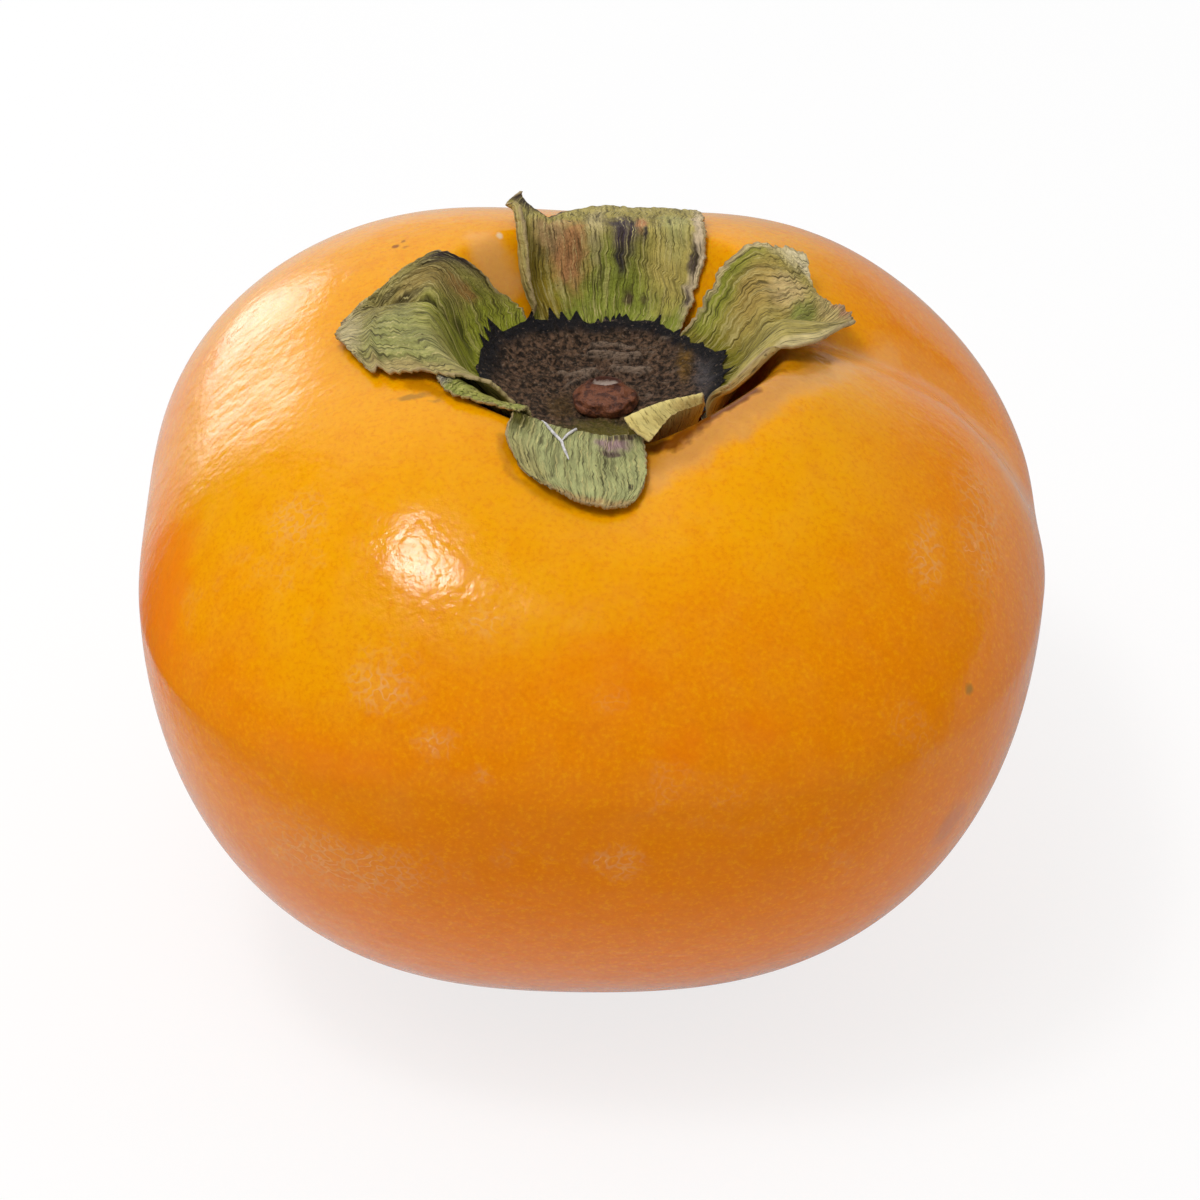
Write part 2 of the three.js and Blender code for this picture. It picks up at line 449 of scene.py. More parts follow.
@dataclass(frozen=True)
class Swell:
    """A broad rise in the skin, or a dip where its rise is negative.

    Attributes:
        azimuth: Its middle, in degrees.
        place: Its middle on the outline.
        spread: How far it reaches, in degrees and along the outline.
        rise: Its height in the middle.
    """

    azimuth: float
    place: float
    spread: Pair
    rise: float

    def at(self, t: np.ndarray, azimuth: np.ndarray) -> np.ndarray:
        """The rise at places on the outline and azimuths in radians."""
        aside = turn_between(azimuth, self.azimuth) / self.spread[0]
        return self.rise * np.exp(-(aside**2) - ((t - self.place) / self.spread[1]) ** 2)


@dataclass(frozen=True)
class SkinShape:
    """The surface of the fruit, which everything else lies on.

    A point has a place t on the outline and an azimuth. t runs 0-1 over the resting spot, 1-2 up
    the lower half, 2-3 up to the crest and 3-4 down into the middle of the hollow.
    """

    lobe_radius: float = 43.3
    crest_height: float = 60.0
    widest_height: float = 38.6
    rest_radius: float = 7.0
    crest_radius: float = 17.0
    hollow_depth: float = 10.8
    hollow_fullness: float = 2.6
    lower_fullness: float = 2.03
    upper_fullness: float = 1.53
    furrows: Furrows = Furrows(0.1, -0.075, 0.2)
    crest_dip: Furrows = Furrows(0.026, 0.45, -0.45)
    crease_azimuth: float = 2.0
    crease_width: float = 9.0
    crease_depth: float = 0.022
    crease_drop: float = 0.7
    crease_spread: float = 1.5
    lean: float = -0.017
    hollow_offset: float = 1.4
    offset_span: Pair = (2.7, 3.05)
    drift: float = 12.0
    drift_width: float = 42.0
    drift_span: Pair = (2.1, 2.5)
    top_span: Pair = (2.45, 4.0)
    shoulder_span: Pair = (2.0, 4.0)
    halvings: int = 30
    swells: tuple[Swell, ...] = (
        Swell(0.0, 2.15, (16.0, 0.30), 1.2),
        Swell(-90.0, 2.38, (27.0, 0.42), 1.5),
        Swell(-38.0, 2.88, (22.0, 0.22), 0.9),
        Swell(-78.0, 2.86, (14.0, 0.20), -1.0),
    )

    def outline(self, t: np.ndarray) -> tuple[np.ndarray, np.ndarray]:
        """The outline before lobing.

        Args:
            t: Places on the outline.

        Returns:
            The radius and the height at each place.
        """
        turn = np.clip(np.where(t <= 2, t - 1, t - 2), 0.0, 1.0) * math.pi / 2
        swing, fall = np.sin(turn), np.maximum(np.cos(turn), 0.0)
        low, high = 2 / self.lower_fullness, 2 / self.upper_fullness
        share = np.clip(4 - t, 0.0, 1.0)
        sunk = 0.5 * (1 + np.cos(math.pi * share**self.hollow_fullness))
        places = [t <= 1, t <= 2, t <= 3]
        radius = np.select(
            places,
            [
                self.rest_radius * t,
                self.rest_radius + (self.lobe_radius - self.rest_radius) * swing**low,
                self.crest_radius + (self.lobe_radius - self.crest_radius) * fall**high,
            ],
            self.crest_radius * share,
        )
        height = np.select(
            places,
            [
                0.0 * t,
                self.widest_height * (1 - fall**low),
                self.widest_height + (self.crest_height - self.widest_height) * swing**high,
            ],
            self.crest_height - self.hollow_depth * sunk,
        )
        return radius, height

    def crease(self, azimuth: np.ndarray) -> np.ndarray:
        """The depth of the sharp line in the furrow at +X, at an azimuth in radians."""
        away = turn_between(azimuth, self.crease_azimuth)
        return self.crease_depth * np.exp(-((away / self.crease_width) ** 2))

    def drawn(self, t: np.ndarray, azimuth: np.ndarray) -> np.ndarray:
        """The azimuth whose furrow a point takes, where the furrow at +X drifts near the top."""
        near = np.exp(-((turn_between(azimuth, 0.0) / self.drift_width) ** 2))
        return azimuth - math.radians(self.drift) * near * smooth(t, *self.drift_span)

    def point(self, t: np.ndarray, azimuth: np.ndarray) -> np.ndarray:
        """Points of the skin.

        Args:
            t: Places on the outline.
            azimuth: Azimuths in radians.

        Returns:
            x, y and z of each point, on the last axis.
        """
        t, azimuth = np.broadcast_arrays(np.asarray(t, float), np.asarray(azimuth, float))
        radius, height = self.outline(t)
        outside = t < 3
        grip = np.where(outside, height / self.crest_height, radius / self.crest_radius) ** 2
        squeeze = np.where(outside, 1.0, grip)
        drawn = self.drawn(t, azimuth)
        crease = self.crease(drawn) * np.minimum(grip * self.crease_spread, 1.0)
        swell = sum(swell.at(t, azimuth) for swell in self.swells)
        tilt = np.clip(t - 2.0, 0.0, 1.0) * math.pi / 2
        reach = radius * (1 - squeeze * self.furrows.at(drawn) - crease) + swell * np.cos(tilt)
        dip = grip * self.crest_dip.at(drawn) + self.crease_drop * crease
        lean = self.lean * np.cos(azimuth) * radius / self.lobe_radius
        across = reach * np.cos(azimuth) + self.hollow_offset * smooth(t, *self.offset_span)
        rise = height * (1 - dip + lean) + swell * np.sin(tilt)
        return np.stack([across, reach * np.sin(azimuth), rise], axis=-1)

    def top_height(
        self, across: np.ndarray, deep: np.ndarray, span: Pair | None = None
    ) -> np.ndarray:
        """The skin's height in and round the hollow, found by halving the range of t.

        Args:
            across: Distance from the hollow's axis along X.
            deep: Distance from it along Y.
            span: The range of t to search, or none for the usual one.

        Returns:
            The height at each place.
        """
        azimuth = np.arctan2(deep, across)
        reach = np.hypot(across, deep)
        outer, inner = (np.full(reach.shape, end) for end in span or self.top_span)
        for _ in range(self.halvings):
            middle = (outer + inner) / 2
            place = self.point(middle, azimuth)
            beyond = np.hypot(place[..., 0] - self.hollow_offset, place[..., 1]) > reach
            outer = np.where(beyond, middle, outer)
            inner = np.where(beyond, inner, middle)
        return self.point(inner, azimuth)[..., 2]


def plan(reach: np.ndarray | float, azimuth: np.ndarray | float) -> np.ndarray:
    """x and y from the hollow's axis, for a reach and an azimuth in degrees."""
    angle = np.radians(azimuth)
    return np.stack([reach * np.cos(angle), reach * np.sin(angle)], axis=-1)


SKIN_SHAPE = SkinShape()


@dataclass(frozen=True)
class Dish:
    """The shallow bowl of the disc, which the roots of the sepals lie against.

    Attributes:
        radius: Where the bowl meets its rim.
        rim_height: Height of the rim.
        depth: Depth of the bowl.
        flare: Rise for each millimetre outside the rim.
        seat: How far below the bowl the roots lie.
        span: Reaches between which a sepal leaves the bowl for its own course.
    """

    radius: float = 11.2
    rim_height: float = 54.3
    depth: float = 3.0
    flare: float = 0.9
    seat: float = 0.4
    span: Pair = (10.4, 12.8)

    def height(self, reach: np.ndarray) -> np.ndarray:
        """The bowl's height at each reach."""
        inner = self.depth * (1 - np.minimum(reach / self.radius, 1.0) ** 2)
        return self.rim_height - inner + self.flare * np.maximum(reach - self.radius, 0.0)

    def seated(self, reach: np.ndarray, height: np.ndarray) -> np.ndarray:
        """A sepal's height, brought down to its seat near its root."""
        free = smooth(reach, *self.span)
        return (1 - free) * (self.height(reach) - self.seat) + free * height


DISH = Dish()


# ---- Shared effects ----------------------------------------------------------------------------


@cache
def grain_mask() -> bpy.types.NodeTree:
    """Noise turned into a mask with a chosen threshold, for specks, bloom and mottling.

    Returns:
        The node group.
    """
    wiring, given, mask = new_group(
        "grain", Points="Vector", Scale="Float", Low="Float", High="Float"
    )
    texture = wiring.noise(given["Points"], given["Scale"], 4.0, 0.6)
    wiring.put(mask, wiring.grade(texture, given["Low"], given["High"]))
    return wiring.tree


@cache
def spot_mask() -> bpy.types.NodeTree:
    """A soft, ragged spot round a point, stretched along the axes by Reach.

    Returns:
        The node group.
    """
    wiring, given, mask = new_group(
        "spot", Points="Vector", Centre="Vector", Reach="Vector", Ragged="Float", Scale="Float"
    )
    away = wiring.vector("SUBTRACT", given["Points"], given["Centre"])
    share = wiring.distance(wiring.vector("DIVIDE", away, given["Reach"]))
    wobble = wiring.noise(given["Points"], given["Scale"], 3.0, 0.6)
    share = wiring.plus(share, wiring.centred(wobble, given["Ragged"]))
    wiring.put(mask, wiring.grade(share, 1.25, 0.35))
    return wiring.tree


@cache
def trail_mask() -> bpy.types.NodeTree:
    """A soft band round the straight line between two points.

    Returns:
        The node group.
    """
    wiring, given, mask = new_group(
        "trail", Points="Vector", Start="Vector", End="Vector", Reach="Float"
    )
    run = wiring.vector("SUBTRACT", given["End"], given["Start"])
    away = wiring.vector("SUBTRACT", given["Points"], given["Start"])
    longest = wiring.measure("DOT_PRODUCT", run, run)
    share = wiring.math("DIVIDE", wiring.measure("DOT_PRODUCT", away, run), longest, clamp=True)
    gap = wiring.distance(away, wiring.scaled(run, share))
    wiring.put(mask, wiring.grade(wiring.math("DIVIDE", gap, given["Reach"]), 1.5, 0.4))
    return wiring.tree


# ---- Skin finish -------------------------------------------------------------------------------


class Mark(Enum):
    """Kinds of mark on the skin, each with its own tint: specks, pale spots, scars, bruises, flushes
    and bloom that a skin picks up as it grows, and painted shade and painted light.
    """

    SPECK = "speck"
    PALE = "pale"
    SCAR = "scar"
    BRUISE = "bruise"
    FLUSH = "flush"
    BLOOM = "bloom"
    # Painted shade, under the sepals' margins.
    SHADE = "shade"
    # Painted light: a pale band of painted sheen along the crests, and a lighter patch on a shaded
    # slope.
    PEACH = "painted_light"


@dataclass(frozen=True)
class Trail:
    """A band of painted shade or painted light that follows a line on the skin round the hollow.

    Attributes:
        kind: What it is.
        reach: How far it reaches to each side of the line.
        depth: How strongly it shows, from 0 to 1.
        places: Where the line runs, as reaches from the hollow's axis and azimuths.
    """

    kind: Mark
    reach: float
    depth: float
    places: tuple[Pair, ...]

    def course(self) -> list[list[float]]:
        """Lay the line on the skin.

        Returns:
            x, y and z of each of its points.
        """
        across, deep = plan(*np.transpose(self.places)).T
        height = SKIN_SHAPE.top_height(across, deep, SKIN_SHAPE.shoulder_span)
        return np.stack([across + SKIN_SHAPE.hollow_offset, deep, height], axis=-1).tolist()


@dataclass(frozen=True)
class Blemish:
    """One mark on the skin.

    Attributes:
        kind: What it is.
        place: Its centre.
        reach: How far it reaches along X, Y and Z.
        depth: How strongly it shows, from 0 to 1.
    """

    kind: Mark
    place: Triple
    reach: Triple
    depth: float


@dataclass(frozen=True)
class SkinFinish:
    """Waxy skin: yellow-orange above, deeper orange below, with pores, bloom, small marks, painted
    shade under the sepals' margins and painted light along the crests.

    Attributes:
        top: Colour round the calyx.
        middle: Colour of the upper half.
        bottom: Colour of the lower half.
        lean: How far these colours climb for each millimetre towards -X.
        cloud: How far they climb or sink in broad clouds.
        pore: Colour of the pores.
        fleck: Colour of the flecks.
        gloss: Roughness of the smoothest wax.
        dull: Roughness of the dullest wax.
        ior: Refractive index of the wax.
        relief: Depth of the relief.
        strokes: Share of the relief that is in its broad strokes.
        scatter: How far each colour of light spreads in the flesh, as shares.
        scatter_depth: How far red light spreads.
        wander: How far the edges of the trails wander.
        patches: Strength of the bloom that lies anywhere on the skin.
        thin: Haze between the curls of the bloom.
        thick: Haze that the curls add to it.
        bloom: Colour of the bloom.
        tints: Colour of each kind of mark, in the order that they are laid.
        trails: Bands of painted shade and painted light that follow lines.
        blemishes: Marks round points.
    """

    top: Colour = (0.94, 0.385, 0.0)
    middle: Colour = (0.90, 0.270, 0.0)
    bottom: Colour = (0.83, 0.212, 0.0)
    lean: float = -0.13
    cloud: float = 20.0
    pore: Colour = (0.76, 0.17, 0.0)
    fleck: Colour = (0.98, 0.44, 0.0)
    gloss: float = 0.13
    dull: float = 0.20
    ior: float = 1.47
    relief: float = 0.040
    strokes: float = 2.4
    scatter: Triple = (1.0, 0.30, 0.03)
    scatter_depth: float = 2.5
    wander: float = 2.6
    patches: float = 0.25
    thin: float = 0.14
    thick: float = 0.52
    bloom: Colour = (0.83, 0.47, 0.20)
    tints: tuple[tuple[Mark, Colour], ...] = (
        (Mark.SPECK, (0.16, 0.035, 0.006)),
        (Mark.PALE, (0.90, 0.66, 0.42)),
        (Mark.SCAR, (0.40, 0.19, 0.02)),
        (Mark.BRUISE, (0.50, 0.17, 0.10)),
        (Mark.FLUSH, (0.92, 0.185, 0.0)),
        # Painted light: the pale band of painted sheen along the crests.
        (Mark.PEACH, (0.90, 0.47, 0.16)),
        # Painted shade: dark red-brown under the sepals' margins.
        (Mark.SHADE, (0.13, 0.022, 0.002)),
    )
    trails: tuple[Trail, ...] = (
        # Painted sheen: a pale band along the crest of the lobe in front of the right sepal, going on
        # round the furrow at +X.
        Trail(Mark.PEACH, 1.6, 0.42, (
            (19, -75), (18.5, -63), (18.5, -49), (19, -27), (21, 0), (26.5, 17),
        )),
        Trail(Mark.PEACH, 2.4, 0.2, ((26.5, 17), (30.5, 18), (33.5, 15), (35.5, 9), (36, -5))),
        # Painted light on the slope left of the back sepal, which lies in shade.
        Trail(Mark.PEACH, 1.7, 0.6, ((16, 130), (15, 130), (14, 127))),
        # Painted shade: dark bands under the right sepal's front margin and its fold, and a broad,
        # faint one round them.
        Trail(Mark.SHADE, 1.0, 0.9, ((16.5, -74), (16.5, -67), (16.5, -59), (16.5, -51), (16.5, -41))),
        Trail(Mark.SHADE, 0.8, 0.6, ((16.5, -41), (16.5, -26))),
        Trail(Mark.SHADE, 2.8, 0.32, ((17, -74), (17, -59), (17, -43), (16.5, -27), (17.5, -14))),
        Trail(Mark.SHADE, 0.9, 0.45, ((16.5, -26), (17.5, -13), (19.5, 0))),
        # Painted shade under the left sepal's lower margin.
        Trail(Mark.SHADE, 0.7, 0.35, ((22, 183), (20, 195), (18.5, 206), (18, 220), (15, 227))),
        # Painted shade under the front sepal's margins.
        Trail(Mark.SHADE, 0.6, 0.3, (
            (18.5, 244), (21, 249), (22.5, 258), (22.5, 272), (21, 278), (18.5, 283),
        )),
    )
    blemishes: tuple[Blemish, ...] = (
        Blemish(Mark.FLUSH, (-20.0, -34.5, 40.5), (6.0, 6.0, 3.0), 0.30),
        Blemish(Mark.FLUSH, (0.5, -34.0, 47.5), (7.0, 5.0, 3.5), 0.28),
        Blemish(Mark.FLUSH, (8.0, -37.0, 43.0), (2.4, 4.0, 2.0), 0.35),
        Blemish(Mark.FLUSH, (14.0, -36.0, 44.0), (3.0, 4.0, 2.4), 0.25),
        Blemish(Mark.FLUSH, (33.0, -6.5, 47.8), (2.0, 3.0, 2.0), 0.25),
        Blemish(Mark.FLUSH, (-36.5, -14.0, 44.0), (4.0, 13.0, 10.0), 0.70),
        Blemish(Mark.SPECK, (-16.7, 12.8, 59.5), (0.42, 0.42, 0.42), 0.75),
        Blemish(Mark.SPECK, (-15.8, 12.2, 59.5), (0.34, 0.34, 0.34), 0.7),
        Blemish(Mark.SPECK, (-16.0, 13.5, 59.4), (0.24, 0.3, 0.3), 0.6),
        Blemish(Mark.PALE, (-7.6, 13.6, 59.9), (0.34, 0.34, 0.5), 1.0),
        Blemish(Mark.SCAR, (-14.6, -11.3, 59.9), (1.9, 0.5, 0.6), 0.75),
        Blemish(Mark.SCAR, (-12.4, -12.3, 59.8), (0.9, 0.4, 0.5), 0.6),
        Blemish(Mark.PALE, (27.0, 9.7, 53.1), (0.95, 0.95, 0.95), 0.5),
        Blemish(Mark.SPECK, (27.0, 9.7, 53.1), (0.33, 0.33, 0.33), 0.9),
        Blemish(Mark.SCAR, (32.2, -27.4, 41.2), (0.55, 0.55, 0.55), 0.8),
        Blemish(Mark.BRUISE, (30.9, -28.2, 27.3), (2.2, 2.2, 2.6), 0.45),
        Blemish(Mark.SCAR, (34.4, -19.0, 43.6), (0.35, 0.35, 1.6), 0.6),
        Blemish(Mark.SCAR, (33.6, -10.5, 46.8), (0.4, 0.5, 0.9), 0.6),
        Blemish(Mark.BLOOM, (-16.6, -34.2, 46.8), (3.4, 3.4, 2.2), 0.75),
        Blemish(Mark.BLOOM, (-12.0, -37.0, 43.2), (2.0, 2.2, 1.6), 0.75),
        Blemish(Mark.BLOOM, (-8.4, -38.4, 41.0), (1.5, 1.5, 1.2), 0.7),
        Blemish(Mark.BLOOM, (-20.0, -35.5, 29.5), (9.0, 6.0, 4.6), 0.8),
        Blemish(Mark.BLOOM, (2.6, -39.5, 32.5), (2.6, 2.0, 2.6), 0.65),
        Blemish(Mark.BLOOM, (-24.3, -21.0, 53.9), (5.0, 3.0, 2.5), 0.5),
        Blemish(Mark.BLOOM, (33.0, -13.0, 47.3), (3.2, 8.0, 4.0), 0.7),
        Blemish(Mark.BLOOM, (28.5, -20.0, 49.8), (2.0, 5.0, 2.4), 0.65),
        Blemish(Mark.BLOOM, (-8.5, -31.0, 50.8), (2.4, 2.4, 1.6), 0.5),
    )

    def material(self) -> bpy.types.Material:
        """Make the skin's material.

        Returns:
            The material.
        """
        material, wiring, shader = new_material("skin")
        points = wiring.points()
        pores = wiring.noise(points, 2.5, 2.0, 0.7)
        masks = self.masks(wiring, points)
        colour = self.ground(wiring, points, pores)
        for kind, tint in self.tints:
            colour = wiring.mix(masks[kind], colour, tint)
        haze = self.haze(wiring, points, pores, masks[Mark.BLOOM])
        colour = wiring.mix(wiring.times(haze, 0.75), colour, self.bloom)
        strokes = wiring.noise(points, 0.36, 2.0, 0.6)
        fine = wiring.noise(points, 1.35, 3.0, 0.55)
        bump = wiring.bump(wiring.math("MULTIPLY_ADD", strokes, self.strokes, fine), self.relief)
        roughness = wiring.grade(strokes, 0.40, 0.62, (self.gloss, self.dull))
        roughness = wiring.plus(roughness, wiring.times(haze, 0.22))
        wiring.feed(shader, Base_Color=colour, Roughness=roughness, Normal=bump, IOR=self.ior)
        wiring.feed(shader, Subsurface_Weight=0.15, Subsurface_Radius=self.scatter)
        wiring.feed(shader, Subsurface_Scale=self.scatter_depth * MM)
        return material

    def ground(self, wiring: Wiring, points: object, pores: object) -> Socket:
        """The skin's colour before its marks, which deepens downwards and towards +X.

        Args:
            wiring: The material's wiring.
            points: Places on the skin.
            pores: The noise that makes its pores and flecks.

        Returns:
            The colour.
        """
        split = wiring.split(points)
        level = wiring.plus(split["Z"], wiring.centred(wiring.noise(points, 0.06), self.cloud))
        level = wiring.plus(level, wiring.times(split["X"], self.lean))
        colour = wiring.mix(wiring.grade(level, 28.0, 47.0), self.bottom, self.middle)
        colour = wiring.mix(wiring.grade(level, 44.0, 56.0), colour, self.top)
        colour = wiring.mix(wiring.grade(pores, 0.50, 0.32, (0.0, 0.32)), colour, self.pore)
        colour = wiring.mix(wiring.grade(pores, 0.50, 0.70, (0.0, 0.4)), colour, self.fleck)
        mottle = wiring.group(grain_mask(), Points=points, Scale=0.35, Low=0.45, High=0.8)
        return wiring.mix(wiring.times(mottle, 0.25), colour, self.pore)

    def masks(self, wiring: Wiring, points: object) -> dict[Mark, object]:
        """Where each kind of mark lies.

        Args:
            wiring: The material's wiring.
            points: Places on the skin.

        Returns:
            The mask of each kind.
        """
        masks = dict.fromkeys(Mark, 0.0)
        wander = wiring.feed(wiring.add("TexNoise"), Vector=points, Scale=0.45, Detail=3.0)
        wander = wiring.vector("SUBTRACT", wander.outputs["Color"], (0.5, 0.5, 0.5))
        wandering = wiring.vector("ADD", points, wiring.scaled(wander, self.wander))
        # Bands of painted shade and painted light along the trails.
        for trail in self.trails:
            band = 0.0
            course = trail.course()
            for start, end in zip(course, course[1:]):
                ends = {"Start": start, "End": end}
                part = wiring.group(trail_mask(), Points=wandering, Reach=trail.reach, **ends)
                band = wiring.larger(part, band)
            band = wiring.times(band, trail.depth)
            masks[trail.kind] = wiring.larger(band, masks[trail.kind])
        for mark in self.blemishes:
            shape = {"Centre": mark.place, "Reach": mark.reach}
            scale = 0.6 / min(mark.reach)
            spot = wiring.group(spot_mask(), Points=points, Ragged=1.5, Scale=scale, **shape)
            spot = wiring.times(spot, mark.depth)
            masks[mark.kind] = wiring.larger(spot, masks[mark.kind])
        return masks

    def haze(self, wiring: Wiring, points: object, pores: object, bloom: object) -> Socket:
        """How thickly the bloom lies, in curls and between them.

        Args:
            wiring: The material's wiring.
            points: Places on the skin.
            pores: The noise that makes its pores and flecks.
            bloom: The mask of the marks that are bloom.

        Returns:
            The haze.
        """
        patches = wiring.group(grain_mask(), Points=points, Scale=0.11, Low=0.58, High=0.70)
        dusty = wiring.larger(wiring.times(patches, self.patches), bloom)
        curls = wiring.math("SUBTRACT", wiring.noise(points, 1.1, 1.0, 0.4), 0.5)
        curls = wiring.plus(wiring.math("ABSOLUTE", curls), wiring.times(pores, 0.05))
        curls = wiring.grade(curls, 0.115, 0.035)
        return wiring.times(dusty, wiring.plus(self.thin, wiring.times(curls, self.thick)))


# ---- The fruit ---------------------------------------------------------------------------------


@dataclass
class Fruit:
    """The whole fruit: skin over flesh, with a hollow above and a scar at the blossom end.

    Attributes:
        finish: Its look.
        segments: Number of faces round it.
        rings: Number of faces from bottom to top.
        ring_shares: Share of the rings that lies below each place 0 to 4 on the outline.
        dimple_radius: Radius of the scar.
        dimple_depth: Depth of the scar.
    """

    finish: SkinFinish = SkinFinish()
    segments: int = 320
    rings: int = 200
    ring_shares: tuple[float, ...] = (0.0, 0.04, 0.42, 0.80, 1.0)
    dimple_radius: float = 4.5
    dimple_depth: float = 0.9

    def build(self) -> None:
        """Make the fruit and dress it."""
        skin, ball = new_ball(self.segments, self.rings)
        rise = np.arccos(np.clip(-ball[:, 2], -1, 1)) / math.pi
        t = np.interp(rise, self.ring_shares, (0.0, 1.0, 2.0, 3.0, 4.0))
        points = SKIN_SHAPE.point(t, np.arctan2(ball[:, 1], ball[:, 0]))
        points[:, 2] += self.dimple(points, t)
        write_points(skin, points)
        finish_piece(skin, "fruit_skin", self.finish.material())
        stand_for(skin, "fruit")

    def dimple(self, points: np.ndarray, t: np.ndarray) -> np.ndarray:
        """How far the middle of the resting spot is drawn up."""
        share = np.hypot(points[:, 0], points[:, 1]) / self.dimple_radius
        return np.where(t <= 1, self.dimple_depth * (1 - smooth(share, 0.0, 1.0)), 0.0)


# ---- Sepals ------------------------------------------------------------------------------------


class Margin(Enum):
    """The two long margins of a sepal: where its rows begin and where they end."""

    FIRST = 0
    LAST = 1


@dataclass(frozen=True)
class Fold:
    """A ridge along a line on a sepal, or a groove where its rise is negative.

    Attributes:
        start: Reach and azimuth of one end.
        end: Reach and azimuth of the other.
        width: Distance from the line at which it has mostly gone.
        rise: Height on the line.
        step: Height that the sheet gains on the left of the line and keeps further off.
    """

    start: Pair
    end: Pair
    width: float
    rise: float = 0.0
    step: float = 0.0

    def lift(self, places: np.ndarray) -> np.ndarray:
        """How far the fold lifts the sheet.

        Args:
            places: x and y from the hollow's axis, one row each.

        Returns:
            The lift at each place.
        """
        first, last = plan(*self.start), plan(*self.end)
        run = last - first
        length = float(np.hypot(*run))
        run = run / length
        along = (places - first) @ run
        aside = (places - first) @ np.array([-run[1], run[0]])
        edge = (-self.width, self.width)
        fade = smooth(along, *edge) * smooth(length - along, *edge)
        ridge = self.rise * np.exp(-((aside / self.width) ** 2))
        return fade * (ridge + self.step * smooth(aside, *edge))


@dataclass(frozen=True)
class Roll:
    """A stretch of a margin that curls up and over.

    Attributes:
        margin: Which margin curls.
        span: Where along the sepal it begins and ends.
        share: Share of the sepal's width that curls.
        radius: Radius of the curl.
        turn: How far it may turn, in degrees.
        fade: Share of the sepal's length over which it begins and ends.
    """

    margin: Margin
    span: Pair
    share: float
    radius: float
    turn: float
    fade: float = 0.06

    def apply(self, sheet: np.ndarray) -> np.ndarray:
        """Curl a sheet's margin.

        Args:
            sheet: Points of the sheet, along by across by x, y, z.

        Returns:
            The sheet with its margin curled.
        """
        if self.margin is Margin.LAST:
            return self.curled(sheet[:, ::-1])[:, ::-1]
        return self.curled(sheet)

    def curled(self, sheet: np.ndarray) -> np.ndarray:
        """The sheet with its first margin curled.

        Args:
            sheet: Points of the sheet, along by across by x, y, z.

        Returns:
            The curled sheet.
        """
        rows, columns = sheet.shape[:2]
        hinge = max(int(round(self.share * (columns - 1))), 1)
        along = np.linspace(0, 1, rows)
        begin, end = ((place - self.fade, place + self.fade) for place in self.span)
        grip = smooth(along, *begin) * (1 - smooth(along, *end))
        strip = sheet[:, hinge::-1]
        start = strip[:, :1]
        steps = np.linalg.norm(np.diff(strip, axis=1), axis=-1)
        length = np.concatenate([np.zeros((rows, 1)), np.cumsum(steps, axis=1)], axis=1)
        out = strip[:, min(3, hinge)] - strip[:, 0]
        out /= np.linalg.norm(out, axis=-1, keepdims=True)
        spine = np.gradient(sheet[:, hinge], axis=0)
        up = np.cross(out, spine)
        up /= np.linalg.norm(up, axis=-1, keepdims=True)
        up *= np.sign(up[:, 2:] + 1e-9)
        angle = np.minimum(length / self.radius, math.radians(self.turn))
        left = np.maximum(length - angle * self.radius, 0)
        forward = self.radius * np.sin(angle) + left * np.cos(angle)
        rise = self.radius * (1 - np.cos(angle)) + left * np.sin(angle)
        curled = start + forward[..., None] * out[:, None] + rise[..., None] * up[:, None]
        weight = grip[:, None, None]
        result = sheet.copy()
        result[:, hinge::-1] = strip * (1 - weight) + curled * weight
        return result


@dataclass(frozen=True)
class Notch:
    """A bite out of a sepal's tip or of one of its long margins.

    Attributes:
        margin: The long margin that it is in, or None for the tip.
        at: Where it is, as a share along the margin or across the tip.
        width: Half its width, as a share.
        depth: Its depth, as a share of the sheet.
    """

    margin: Margin | None
    at: float
    width: float
    depth: float

    def bite(self, places: np.ndarray) -> np.ndarray:
        """The depth taken at each place along the margin."""
        return self.depth * np.maximum(1 - np.abs(places - self.at) / self.width, 0.0)


@dataclass(frozen=True)
class Stain:
    """A patch of another colour on a sepal, or a patch of painted shade.

    Attributes:
        place: Along and across.
        size: Its half length along and half width across, as shares.
        tint: Its colour.
        depth: How strongly it shows.
    """

    place: Pair
    size: Pair
    tint: Colour
    depth: float = 1.0


